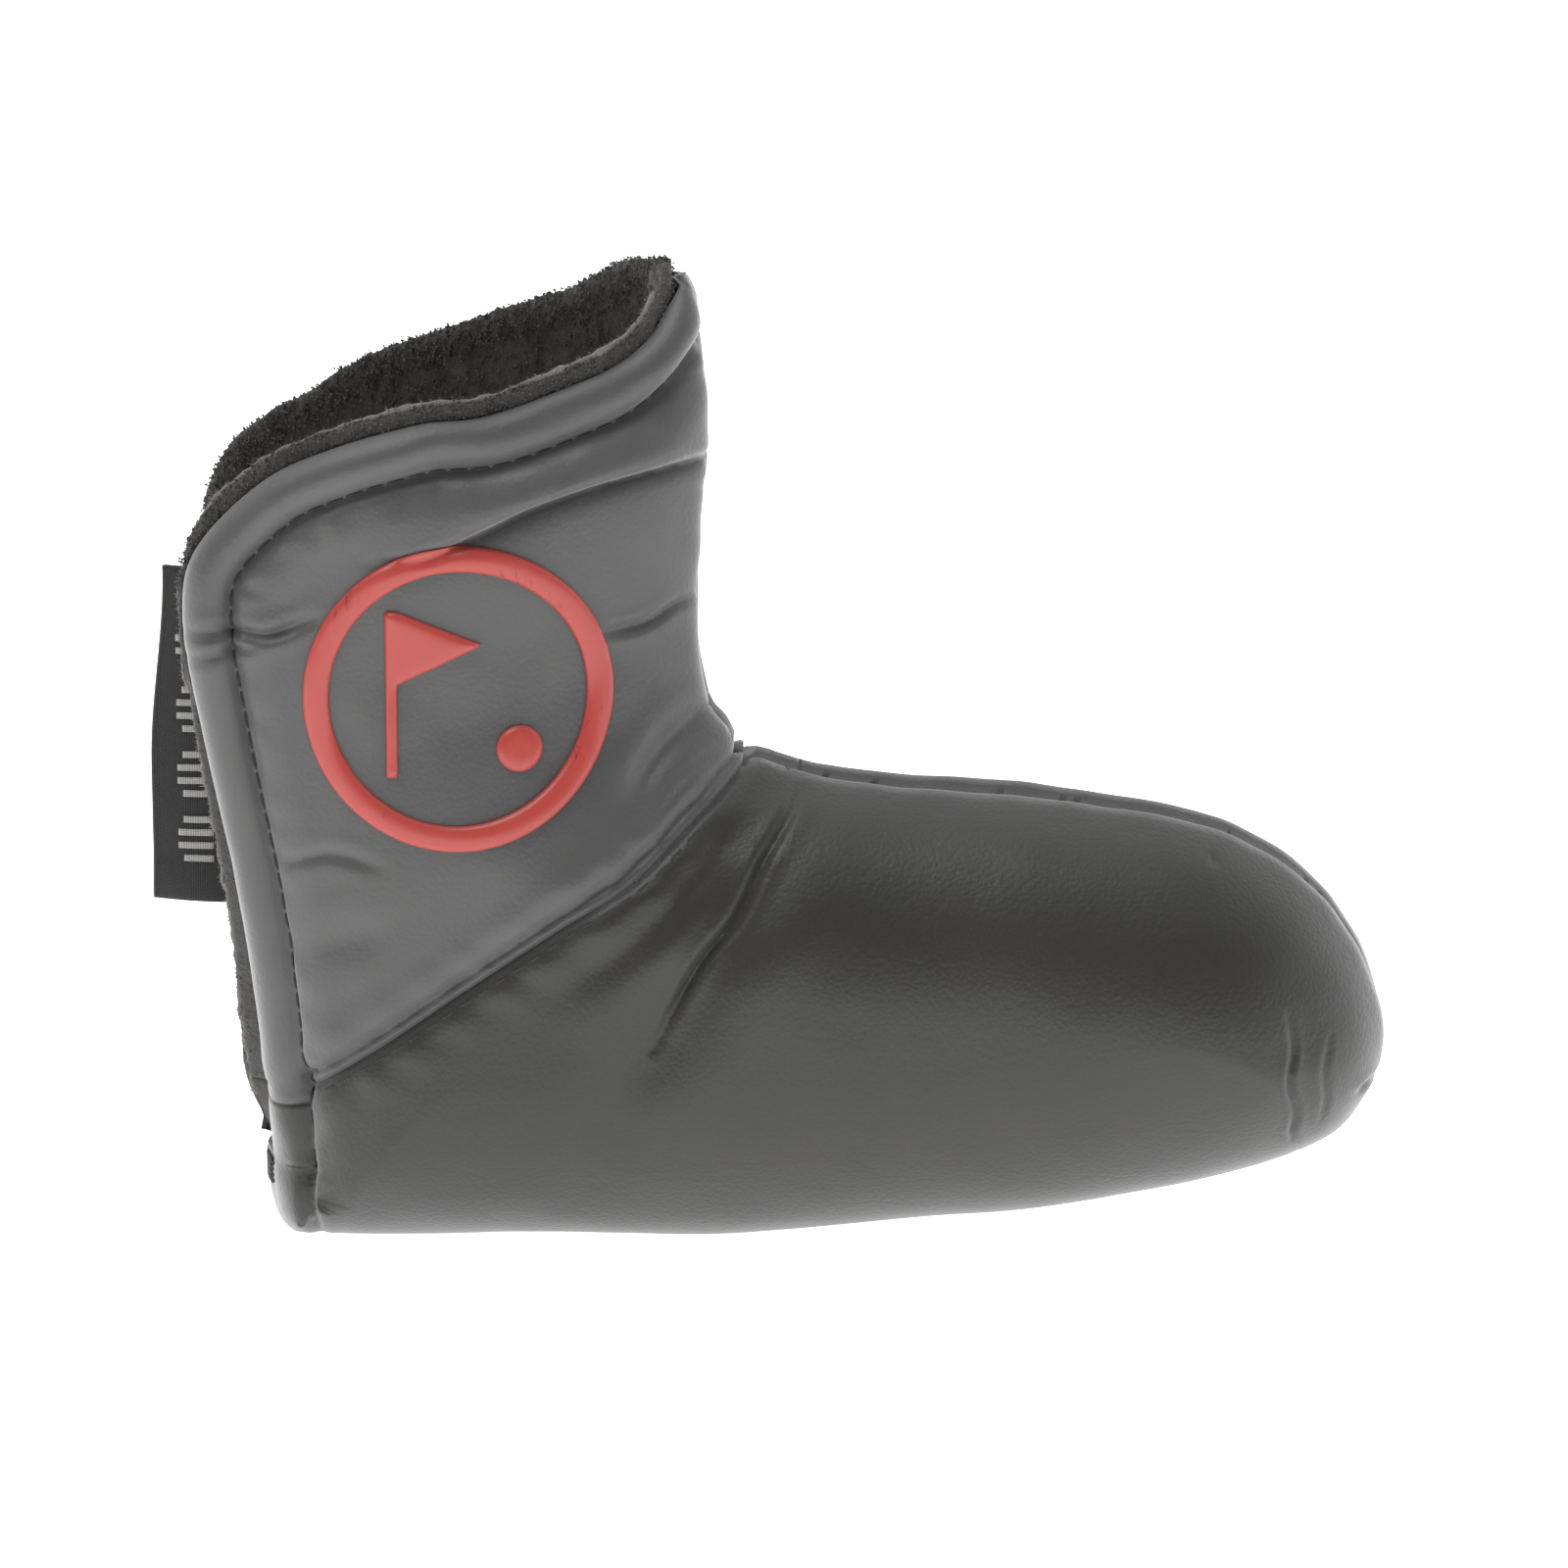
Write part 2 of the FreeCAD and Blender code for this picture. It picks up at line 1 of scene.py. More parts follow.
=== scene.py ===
"""Putter head cover: padded leather body, grey sleeve with folding lips, plush lining, emblem and label.

Lengths are in millimetres until a mesh is made. X runs to the toe, -Y is the decorated front, Z is up.
Every soft piece lies on one skin: the height of the skin above the middle plane is a function of X and Z,
and a piece is a flat outline that is laid on the skin and lifted off it by some depth. A side is -1 for
the front and 1 for the back. The mouth edge is the open edge of one lip, and its ribs are its points,
each with a direction into the panel.
"""
import json
import math

import bmesh
import bpy
import numpy as np
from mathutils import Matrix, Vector, geometry, noise


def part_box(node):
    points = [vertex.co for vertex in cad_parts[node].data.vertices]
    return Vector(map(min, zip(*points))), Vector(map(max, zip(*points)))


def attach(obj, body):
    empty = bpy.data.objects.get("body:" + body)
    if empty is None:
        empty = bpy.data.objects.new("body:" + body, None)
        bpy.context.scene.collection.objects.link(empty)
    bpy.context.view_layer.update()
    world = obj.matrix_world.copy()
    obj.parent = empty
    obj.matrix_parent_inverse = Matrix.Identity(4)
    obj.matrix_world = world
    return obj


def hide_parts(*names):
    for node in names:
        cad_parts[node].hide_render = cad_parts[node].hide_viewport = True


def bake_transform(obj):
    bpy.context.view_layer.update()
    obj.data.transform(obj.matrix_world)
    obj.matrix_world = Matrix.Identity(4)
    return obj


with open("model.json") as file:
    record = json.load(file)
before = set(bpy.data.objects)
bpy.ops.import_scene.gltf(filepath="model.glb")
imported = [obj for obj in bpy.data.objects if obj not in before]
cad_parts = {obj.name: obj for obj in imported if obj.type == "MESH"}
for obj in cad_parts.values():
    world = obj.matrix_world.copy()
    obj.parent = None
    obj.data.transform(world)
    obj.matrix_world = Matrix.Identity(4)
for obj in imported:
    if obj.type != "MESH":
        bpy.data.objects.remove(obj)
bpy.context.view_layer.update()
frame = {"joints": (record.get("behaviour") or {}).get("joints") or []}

MM = 0.001


def box_mm(node):
    """Lowest and highest corner of a CAD node, in millimetres."""
    low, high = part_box(node)
    return np.array(low) / MM, np.array(high) / MM


BODY_LOW, BODY_HIGH = box_mm("body_leather")
SLEEVE_LOW, _ = box_mm("front_sleeve_panel")
_, LIP_HIGH = box_mm("front_lip_panel")

# Where the outline's main places are.
SKIN_INSET = 0.7
TOE_X = BODY_HIGH[0] + SKIN_INSET
HEEL_X = BODY_LOW[0] + SKIN_INSET
EDGE_X = SLEEVE_LOW[0] + 62.5
TOP_Z = LIP_HIGH[2] - 2.0
SLIT_Z = 13.0
CORNER_X = HEEL_X - 9.0

# Thickness of the leather and the lining, width of the hem, and the sole's gap over the floor.
LEATHER = 0.9
LINING = 0.9
HEM = 7.0
SOLE_CLEAR = 0.03

# How far the panel seam's stitch rows are above and below it.
ROW_UP = 1.7
ROW_DOWN = 1.3

# Half the cover's thickness, and how far inside the edge the skin reaches it. Side -1 is the front.
BODY_HALF = 24.2
SLEEVE_HALF = {-1: 22.0, 1: 19.5}
BODY_ROUND = 29.0
SLEEVE_ROUND = 55.0


# ---------------------------------------------------------------- curves

def smooth_curve(points, step=1.0):
    """Catmull-Rom curve through the points, sampled at an even step."""
    pts = np.array(points, float)
    pts = np.vstack([2 * pts[0] - pts[1], pts, 2 * pts[-1] - pts[-2]])
    fine = []
    for a, b, c, d in zip(pts, pts[1:], pts[2:], pts[3:]):
        for t in np.linspace(0, 1, 40, endpoint=False):
            fine.append(0.5 * (2 * b + (c - a) * t + (2 * a - 5 * b + 4 * c - d) * t * t
                               + (3 * b - a - 3 * c + d) * t ** 3))
    fine.append(pts[-2])
    return resample(np.array(fine), step)


def unit(vectors):
    """The vectors' directions, each one long."""
    return vectors / np.linalg.norm(vectors, axis=1)[:, None]


def tangents(line):
    return unit(np.gradient(line, axis=0))


def leftwards(directions):
    """Flat directions turned a quarter turn to the left."""
    return np.column_stack([-directions[:, 1], directions[:, 0]])


def running_length(line):
    """How far along the line each of its points is."""
    return np.concatenate([[0], np.cumsum(np.linalg.norm(np.diff(line, axis=0), axis=1))])


def unit_circle(count):
    """Even points round a circle of radius one."""
    turns = np.linspace(0, 2 * np.pi, count + 1)[:-1]
    return np.column_stack([np.cos(turns), np.sin(turns)])


def resample(line, step):
    """The same line with its points at an even step."""
    lengths = running_length(line)
    count = max(2, int(round(lengths[-1] / step)) + 1)
    at = np.linspace(0, lengths[-1], count)
    return np.column_stack([np.interp(at, lengths, line[:, k]) for k in range(line.shape[1])])


MOUTH_END = (EDGE_X - 0.2, TOP_Z - 0.2)


def closed_edge():
    """The cover's closed silhouette, from the slit's foot round the sole, toe and crown to the top."""
    sole = [(HEEL_X, SLIT_Z), (HEEL_X + 0.5, 5.4), (HEEL_X + 2.6, 1.2), (HEEL_X + 8, 0.1),
            (-12, -0.1), (12, 0.1), (36, 1.6), (62, 4.4), (84, 8.7)]
    toe = [(TOE_X - 8.4, 13.9), (TOE_X - 2.0, 20.5), (TOE_X + 0.5, 29.8), (TOE_X - 2.5, 41.0),
           (TOE_X - 9.0, 51.0)]
    crown = [(TOE_X - 17.5, 57.5), (TOE_X - 29, 62.0), (60, 65.1), (40, 66.8), (27, 68.7), (20.5, 70.8)]
    crotch = [(15.5, 74.2), (EDGE_X + 2.0, 79.5)]
    edge = [(EDGE_X + 0.6, 90.0), (EDGE_X + 1.2, 104.0), (EDGE_X + 1.7, 118.0), (EDGE_X + 1.0, 131.0),
            MOUTH_END]
    return smooth_curve(sole + toe + crown + crotch + edge)


def mouth_edge(side):
    """The open edge of one lip, from the slit's foot up the heel, round its corner and along to the top."""
    heel = [(HEEL_X, SLIT_Z), (HEEL_X - 0.8, 24.0), (HEEL_X - 3.2, 52.0), (HEEL_X - 7.6, 80.0)]
    if side > 0:
        heel[1:3] = [(HEEL_X - 2.1, 22.0), (HEEL_X - 4.3, 48.0)]
    if side < 0:
        corner = [(HEEL_X - 9.2, 95.5), (HEEL_X - 7.2, 105.2), (HEEL_X + 1.8, 114.6)]
        top = [(HEEL_X + 11.5, 119.4), (HEEL_X + 24.5, 122.9), (HEEL_X + 34.0, 123.7),
               (HEEL_X + 45.5, 127.2), (HEEL_X + 52.5, 129.7), (HEEL_X + 57.3, 133.0),
               (HEEL_X + 60.0, 136.8)]
    else:
        corner = [(HEEL_X - 8.8, 96.5), (HEEL_X - 7.0, 106.3), (HEEL_X - 1.0, 113.9)]
        top = [(HEEL_X + 7.5, 118.9), (HEEL_X + 15.5, 123.7), (HEEL_X + 25.0, 127.3),
               (HEEL_X + 35.5, 131.0), (HEEL_X + 45.5, 134.6), (HEEL_X + 54.0, 139.0)]
    return smooth_curve(heel + corner + top + [MOUTH_END])


def seam_line():
    """The seam between the dark body and the grey sleeve, from the heel to the crotch."""
    return smooth_curve([(HEEL_X - 0.8, 22.6), (HEEL_X + 5.5, 25.6), (HEEL_X + 14.5, 31.6),
                         (HEEL_X + 28, 41.0), (-9, 51.4), (2, 58.4), (10, 65.6), (17.6, 72.2)])


CLOSED = closed_edge()
MOUTH = {side: mouth_edge(side) for side in (-1, 1)}
SEAM = seam_line()


def line_distance(points, line):
    """Distance of each point from an open polyline, the place along it, and which side the point is on."""
    starts = line[:-1]
    steps = np.diff(line, axis=0)
    squares = (steps ** 2).sum(1)
    best = np.full(len(points), 1e9)
    along = np.zeros(len(points))
    side = np.zeros(len(points))
    lengths = np.concatenate([[0], np.cumsum(np.sqrt(squares))])
    for low in range(0, len(points), 4000):
        p = points[low:low + 4000, None, :] - starts[None]
        t = np.clip((p * steps).sum(2) / squares, 0, 1)
        gap = p - t[..., None] * steps
        dist = (gap ** 2).sum(2)
        pick = dist.argmin(1)
        rows = np.arange(len(pick))
        best[low:low + 4000] = np.sqrt(dist[rows, pick])
        along[low:low + 4000] = lengths[pick] + t[rows, pick] * np.sqrt(squares[pick])
        cross = steps[pick, 0] * gap[rows, pick, 1] - steps[pick, 1] * gap[rows, pick, 0]
        side[low:low + 4000] = np.sign(cross)
    return best, along, side


def bell(value, width):
    """A bell curve, 1 where the value is zero, that dies away over the width."""
    return np.exp(-(value / width) ** 2)


def ease(value):
    """A smooth step from 0 to 1 as the value goes from 0 to 1."""
    value = np.clip(value, 0, 1)
    return value * value * (3 - 2 * value)


# ---------------------------------------------------------------- skin

CLOSED_LONG = np.vstack([CLOSED, [[CLOSED[-1][0], TOP_Z + 30]]])
HEEL_LINE = smooth_curve([(HEEL_X, -20), (HEEL_X, SLIT_Z)] + [tuple(p) for p in MOUTH[-1][5:95:15]]
                         + [(HEEL_X - 9, 150)], 4.0)


def square_height(points, side):
    """The square of the skin's height over the middle plane. It stays smooth where the height is zero."""
    x, z = points[:, 0], points[:, 1]
    dist, _, hand = line_distance(points, CLOSED_LONG)
    open_heel = (z > SLIT_Z) & (x < HEEL_X + 6.0)
    depth = dist * np.where((hand >= 0) | open_heel, 1.0, -1.0)
    upper = ease((z - 42.0) / 50.0) * ease((24.0 - x) / 18.0)
    reach = BODY_ROUND + (SLEEVE_ROUND - BODY_ROUND) * upper
    half = BODY_HALF + (SLEEVE_HALF[side] - BODY_HALF) * upper
    part = np.minimum(depth / reach, 1.0)
    square = half ** 2 * (2 * part - part ** 2)
    heel_x = np.interp(z, HEEL_LINE[:, 1], HEEL_LINE[:, 0])
    gap = 0.93 * SLEEVE_HALF[side] * np.clip((z - SLIT_Z) / 80.0, 0, 1) ** 0.5
    inward = np.clip((x - heel_x) / 30.0, 0, 1)
    share = 2 * inward - inward ** 2
    limit = gap ** 2 + (half ** 2 - gap ** 2) * share
    near_slit = ease((z - SLIT_Z + 4.0) / 6.0)
    slit = (1 - near_slit) * square + near_slit * np.minimum(square, limit)
    return np.where(z > SLIT_Z - 4, slit, square)


def skin(points, side, lift=0.0):
    """Points on the skin over the given X and Z, lifted along the skin's outward normal."""
    points = np.asarray(points, float)
    square = square_height(points, side)
    height = np.sqrt(np.maximum(square, 0))
    small = 0.05
    slopes = []
    for step in ([small, 0], [0, small]):
        rise = square_height(points + step, side) - square_height(points - step, side)
        slopes.append(rise / (2 * small))
    normal = -np.column_stack([slopes[0], 2 * height, slopes[1]])
    normal /= np.maximum(np.linalg.norm(normal, axis=1), 1e-9)[:, None]
    normal[:, 1] *= -side
    place = np.column_stack([points[:, 0], side * height, points[:, 1]])
    lift = np.broadcast_to(np.asarray(lift, float), (len(points),))
    place = place + normal * lift[:, None]
    place[:, 2] = np.maximum(place[:, 2], SOLE_CLEAR + 0.6 * np.maximum(-lift, 0))
    return place


# ---------------------------------------------------------------- wrinkles

# Each crease: its route in X and Z, its depth and its width.
CREASES = {
    -1: [
        ([(EDGE_X + 3, 80), (6, 75), (1, 68)], 1.3, 2.0),
        ([(EDGE_X + 5, 75), (8, 71), (2, 65)], 0.7, 1.3),
        ([(24.5, 69.5), (23.5, 66), (19.5, 60.4), (15.8, 53), (10.4, 46), (4, 34)], 1.0, 0.8),
        ([(22.5, 66), (18.5, 59), (14, 51), (8, 41), (0, 24)], 1.5, 4.6),
        ([(20, 70.5), (12, 60.5), (3, 51), (-9, 42.5)], 0.9, 2.6),
        ([(EDGE_X + 1, 95.6), (6.9, 94.6), (3.4, 92.8), (-2.4, 92.2)], 1.0, 0.8),
        ([(HEEL_X - 9, 93.7), (HEEL_X - 2, 94), (HEEL_X + 3.5, 93.7), (HEEL_X + 9.5, 96)], 1.1, 0.9),
        ([(HEEL_X - 9, 89.5), (HEEL_X - 4, 91), (HEEL_X + 2, 92)], 0.8, 0.8),
        ([(HEEL_X + 4.5, 60.4), (HEEL_X + 11, 62.2), (HEEL_X + 18, 60.7)], 0.5, 1.0),
        ([(HEEL_X + 3, 48), (HEEL_X + 12, 49.5), (HEEL_X + 20, 52)], 0.5, 2.6),
        ([(93.6, 38), (94.6, 33), (94.0, 28), (95.2, 23), (94.9, 18), (96.4, 13)], 0.5, 0.5),
        ([(96, 40), (96, 30), (95, 16)], 0.30, 3.2),
        ([(100.0, 34), (99.2, 29), (99.6, 24), (98.8, 20)], 0.2, 0.5),
        ([(TOE_X + 1, 24.6), (TOE_X - 1.5, 24.4), (TOE_X - 3.5, 23.4)], 1.0, 0.7),
        ([(82.5, 58.2), (84, 57.8)], 0.3, 0.6),
        ([(HEEL_X + 7.0, 16), (HEEL_X + 7.1, 8), (HEEL_X + 8.0, 0.5)], 1.1, 0.8),
    ],
    1: [
        ([(EDGE_X + 3, 80), (5, 74), (0, 66)], 1.3, 2.2),
        ([(26, 68), (22, 60), (18, 48), (13, 32)], 1.2, 1.6),
        ([(25, 66), (20, 55), (16, 40), (12, 26)], 1.1, 5.0),
        ([(20, 70.5), (11, 61), (1, 52), (-10, 44)], 1.0, 2.4),
        ([(EDGE_X + 1, 100), (5, 99), (-3, 97)], 0.9, 1.4),
        ([(HEEL_X - 6, 80), (HEEL_X + 5, 81), (HEEL_X + 15, 84)], 0.8, 1.4),
        ([(HEEL_X + 5, 52), (HEEL_X + 14, 54), (HEEL_X + 24, 58)], 0.6, 2.2),
        ([(95.5, 40), (94.5, 31), (95, 20)], 0.55, 0.8),
        ([(95, 42), (94, 30), (94, 16)], 0.5, 3.4),
        ([(TOE_X + 1, 24.6), (TOE_X - 1.5, 24.4), (TOE_X - 3.5, 23.4)], 1.0, 0.7),
        ([(40, 42), (58, 46), (76, 43)], 0.5, 5.0),
        ([(HEEL_X + 7.0, 16), (HEEL_X + 7.1, 8), (HEEL_X + 8.0, 0.5)], 1.1, 0.8),
    ],
}

# The soft fold across the sleeve: the cloth above it overhangs the cloth below.
FOLD = {
    -1: [(EDGE_X + 1.5, 116), (3.4, 115), (-3.5, 113.8), (-12.3, 111.3), (-18.6, 108.6),
         (-27.4, 105.2), (-37, 104.5)],
    1: [(EDGE_X + 1.5, 112), (1, 111), (-9, 108.5), (-19, 104), (-30, 100)],
}


def noise_at(points, side, scale, seed):
    """Soft noise over the skin's real places, so that it runs on without a step over the closed edge."""
    depth = side * np.sqrt(np.maximum(square_height(points, side), 0))
    return np.array([noise.noise(Vector((x / scale, y / scale + seed, z / scale)))
                     for (x, z), y in zip(points, depth)])


def folds(points, side):
    """The creases and the soft fold of one side."""
    lift = np.zeros(len(points))
    for route, depth, width in CREASES[side]:
        dist, along, _ = line_distance(points, smooth_curve(route, 1.5))
        total = max(along.max(), 1e-6)
        ends = np.clip(np.minimum(along, total - along) / (0.35 * total) + 0.25, 0, 1)
        lift -= depth * ends * bell(dist, width)
        lift += 0.28 * depth * ends * bell(dist - 2.0 * width, 1.1 * width)
    dist, along, hand = line_distance(points, smooth_curve(FOLD[side], 1.5))
    total = along.max()
    fade = np.clip((total - along) / (0.5 * total), 0, 1)
    above = -dist * hand
    over = 0.5 + 0.5 * np.tanh(above / 0.6)
    step = over * 2.5 * bell(above - 1.0, 5.0)
    step = step - (1 - over) * bell(above, 2.6)
    crease = 1.3 * bell(above + 0.9, 0.55)
    return lift + fade * (step - crease - 0.9 * bell(above - 9.5, 3.6))


def seam_relief(points, side, reach):
    """The sunk panel seam and its stitch row, and the sunk seam along the crown and the toe side."""
    across_hem, _, _ = line_distance(points, MOUTH[side])
    panel = 0.25 + 0.75 * ease((across_hem - 5.6) / 1.6)
    dist, along, hand = line_distance(points, SEAM)
    above = dist * hand
    jag = 0.14 * noise_at(points, side, 1.6, 13.0)
    lift = -0.75 * bell(dist, 0.55) - 1.35 * bell(above - ROW_UP + jag, 0.50)
    lift += 0.40 * bell(above - ROW_UP - 3.2, 1.8)
    lift -= 0.9 * bell(above - 0.5 * ROW_UP, 2.6) + 0.12 * bell(above + ROW_DOWN, 0.6)
    wave = np.sin(along / 1.25 + 2.5 * noise_at(points, side, 14.0, 9.0))
    lift = panel * (lift + 0.17 * wave * bell(np.abs(above) - 3.4, 2.4))
    dist, along, _ = line_distance(points, CLOSED)
    crown = ease((along - CROWN_START) / 12.0)
    lift -= crown * 1.7 * bell(reach, 1.7)
    lift += crown * 0.35 * bell(reach - 4.6, 2.4)
    wave = np.sin(along / 1.6 + 3.0 * noise_at(points, side, 17.0, 5.0))
    return lift + crown * 0.07 * wave * bell(reach - 3.2, 2.4) * ease(reach / 1.5)


def wrinkles(points, side):
    """How far the skin stands out or sinks in: folds, soft lumps, and the pull of the seams."""
    dist, _, _ = line_distance(points, CLOSED)
    height = np.sqrt(np.maximum(square_height(points, side), 0))
    reach = np.hypot(np.minimum(dist, 20.0), height)
    share = 0.5 * bell(reach, 5.0)
    calm = 1 - 0.85 * bell(reach, 9.0)
    lift = calm * ((1 - share) * folds(points, side) + share * folds(points, -side))
    upper = 0.45 + 0.55 * ease((points[:, 1] - 55.0) / 30.0)
    lift += 0.55 * noise_at(points, side, 26.0, 0.0) + 0.20 * upper * noise_at(points, side, 8.0, 3.0)
    return lift + seam_relief(points, side, reach)


def crown_start():
    """How far along the closed edge the crown seam starts, at the toe's tip."""
    return running_length(CLOSED)[CLOSED[:, 0].argmax()] - 6.0


CROWN_START = crown_start()


# ---------------------------------------------------------------- flat outlines

def inward_ribs(side):
    """Across the hem: at each point of the mouth edge, the direction into the panel."""
    inward = -leftwards(tangents(MOUTH[side]))
    place = np.linspace(0, 1, len(inward))
    foot = ease(1 - place / 0.08)[:, None]
    head = ease((place - 0.80) / 0.16)[:, None]
    inward = (1 - foot) * inward + foot * np.array([1.0, 0.1])
    inward = (1 - head) * inward + head * np.array([0.22, -1.0])
    return unit(inward)


RIBS = {side: inward_ribs(side) for side in (-1, 1)}


def hem_line(side, across=HEM):
    """The line that runs the given distance inside the mouth edge."""
    return MOUTH[side] + across * RIBS[side]


def nearest(line, point):
    return int(np.linalg.norm(line - np.asarray(point), axis=1).argmin())


def seam_rib(side):
    """The number of the rib where the panel seam crosses the hem."""
    return nearest(MOUTH[side], SEAM[0])


def sleeve_outline(side):
    """The grey panel inside its hem: hem line up, sleeve edge down, panel seam back to the heel."""
    hem = hem_line(side)[seam_rib(side):]
    crotch = nearest(CLOSED, SEAM[-1])
    top = nearest(CLOSED, hem[-1])
    edge = CLOSED[crotch:top][::-1]
    start = nearest(SEAM, hem[0])
    return np.vstack([hem, edge, SEAM[start + 1:-1][::-1]])


def body_outline(side):
    """The dark panel of one side: panel seam, crown, toe, sole, heel, and its short end of the hem."""
    hem = hem_line(side)[:seam_rib(side) + 1]
    crotch = nearest(CLOSED, SEAM[-1])
    start = nearest(SEAM, hem[-1])
    foot = MOUTH[side][0] + np.array(FOOT_ROW)[:, None] * RIBS[side][0]
    return np.vstack([SEAM[start + 1:-1], CLOSED[:crotch + 1][::-1], foot[:-1], hem])


# Rows of points beside a crease, and inside an outline's edge. The foot's row follows the hem's profile.
DETAIL_ROWS = (-1.5, -1.0, -0.6, -0.3, 0.0, 0.3, 0.6, 1.0, 1.5)
FOOT_ROW = [0.9, 1.7, 2.6, 3.6, 4.6, 5.5, 6.2, 6.65, 7.0]
EDGE_ROWS = [0.10, 0.35, 0.75, 1.3, 2.0, 2.8, 3.7, 4.7, 5.8, 7.0, 8.3]
COARSE_ROWS = [0.6, 1.6, 3.0, 5.0]

# How far apart the points of the leather, the foam, and the lining of the body and of a lip are.
FINE = 0.92
FOAM_FINE = 1.6
BODY_LINING_FINE = 1.8
LIP_LINING_FINE = 1.3


def inside(points, outline):
    """Which points are inside a closed outline."""
    x, z = points[:, 0], points[:, 1]
    result = np.zeros(len(points), bool)
    for (x0, z0), (x1, z1) in zip(outline, np.roll(outline, -1, axis=0)):
        if z0 == z1:
            continue
        crossing = ((z0 > z) != (z1 > z)) & (x < (x1 - x0) * (z - z0) / (z1 - z0) + x0)
        result ^= crossing
    return result


def detail_rows(side):
    """Rows of points close beside each crease and the fold, so that the mesh can follow them."""
    rows = []
    for route in [crease[0] for crease in CREASES[side]] + [FOLD[side]]:
        line = smooth_curve(route, 0.6)
        across = leftwards(tangents(line))
        rows += [line + offset * across for offset in DETAIL_ROWS]
    return np.vstack(rows)


def triangulate(outline, spacing=FINE, rows=EDGE_ROWS, details=None):
    """Even triangles over a flat outline, finer along its edge. The outline's points come first."""
    ahead = np.roll(outline, -1, axis=0)
    area = 0.5 * np.sum(outline[:, 0] * ahead[:, 1] - ahead[:, 0] * outline[:, 1])
    loop = outline if area > 0 else outline[::-1]
    closed = np.vstack([loop, loop[:1]])
    tangent = np.roll(loop, -1, axis=0) - np.roll(loop, 1, axis=0)
    tangent /= np.maximum(np.linalg.norm(tangent, axis=1), 1e-9)[:, None]
    inward = leftwards(tangent)
    extra = []
    for row in rows:
        ring = loop + row * inward
        dist, _, _ = line_distance(ring, closed)
        extra.append(ring[(dist > 0.94 * row) & inside(ring, loop)])
    points = thin_out(np.vstack([loop] + extra), len(loop), 0.09)
    low, high = loop.min(0), loop.max(0)
    lines = np.arange(low[1], high[1], spacing * 0.866)
    grid = np.array([(x + (spacing / 2 if number % 2 else 0), z) for number, z in enumerate(lines)
                     for x in np.arange(low[0], high[0], spacing)])
    grid = grid[inside(grid, loop)]
    dist, _, _ = line_distance(grid, closed)
    extra = [grid[dist > rows[-1] + 0.55 * spacing]]
    if details is not None:
        details = details[inside(details, loop)]
        dist, _, _ = line_distance(details, closed)
        extra.insert(0, details[dist > 0.5])
    points = thin_out(np.vstack([points] + extra), len(points), 0.32)
    edges = [(i, (i + 1) % len(loop)) for i in range(len(loop))]
    result = geometry.delaunay_2d_cdt([Vector(p) for p in points], edges, [], 1, 1e-6)
    return np.array([tuple(p) for p in result[0]]), [tuple(f) for f in result[2]]


def thin_out(points, keep, gap):
    """Drops a point that almost coincides with an earlier one; the first points all stay."""
    cells = set()
    kept = []
    for number, (x, z) in enumerate(points):
        key = (round(x / gap), round(z / gap))
        if number < keep or key not in cells:
            kept.append(number)
        cells.add(key)
    return points[kept]


# ---------------------------------------------------------------- meshes

def make_object(name, places, faces, material, smooth=True):
    """A mesh object from places in millimetres."""
    mesh = bpy.data.meshes.new(name)
    mesh.from_pydata([tuple(p) for p in np.asarray(places) * MM], [], [tuple(f) for f in faces])
    mesh.materials.append(material)
    mesh.update()
    if smooth:
        mesh.shade_smooth()
    piece = bpy.data.objects.new(name, mesh)
    bpy.context.collection.objects.link(piece)
    return piece


def weld(piece, gap=0.02):
    """Joins vertices that coincide and makes every face look outwards."""
    work = bmesh.new()
    work.from_mesh(piece.data)
    bmesh.ops.remove_doubles(work, verts=work.verts, dist=gap * MM)
    bmesh.ops.recalc_face_normals(work, faces=work.faces)
    work.to_mesh(piece.data)
    work.free()
    piece.data.shade_smooth()


def thicken(piece, thickness, side=-1.0):
    """Gives a sheet its thickness, inwards from its outer face."""
    modifier = piece.modifiers.new("thickness", "SOLIDIFY")
    modifier.thickness = thickness * MM
    modifier.offset = side
    modifier.use_even_offset = False
    apply_modifiers(piece)


def apply_modifiers(piece):
    """Makes the modified mesh the piece's own mesh."""
    graph = bpy.context.evaluated_depsgraph_get()
    mesh = bpy.data.meshes.new_from_object(piece.evaluated_get(graph))
    old = piece.data
    piece.modifiers.clear()
    piece.data = mesh
    mesh.name = piece.name
    bpy.data.meshes.remove(old)


def grid_faces(columns, rows, round_rows=False, round_columns=False):
    """Four-sided faces between columns of places. A round grid also joins its last to its first."""
    last_column = columns if round_columns else columns - 1
    last_row = rows if round_rows else rows - 1
    faces = []
    for a in range(last_column):
        for b in range(last_row):
            across = (a + 1) % columns * rows
            up = (b + 1) % rows
            faces.append((a * rows + b, a * rows + up, across + up, across + b))
    return faces


HEM_PROFILE = [
    # distance inside the mouth edge, lift off the skin
    (7.0, -1.45), (6.65, -1.2), (6.2, -0.45), (5.5, 0.45), (4.6, 1.02), (3.6, 1.18), (2.6, 0.98),
    (1.7, 0.45), (0.9, -0.25), (0.35, -1.1), (0.1, -1.9), (0.15, -2.5), (0.6, -2.9), (1.4, -3.0),
    (2.6, -3.0),
]

# The share of the hem's relief that is left at the slit's foot.
FOOT_FADE = 0.6

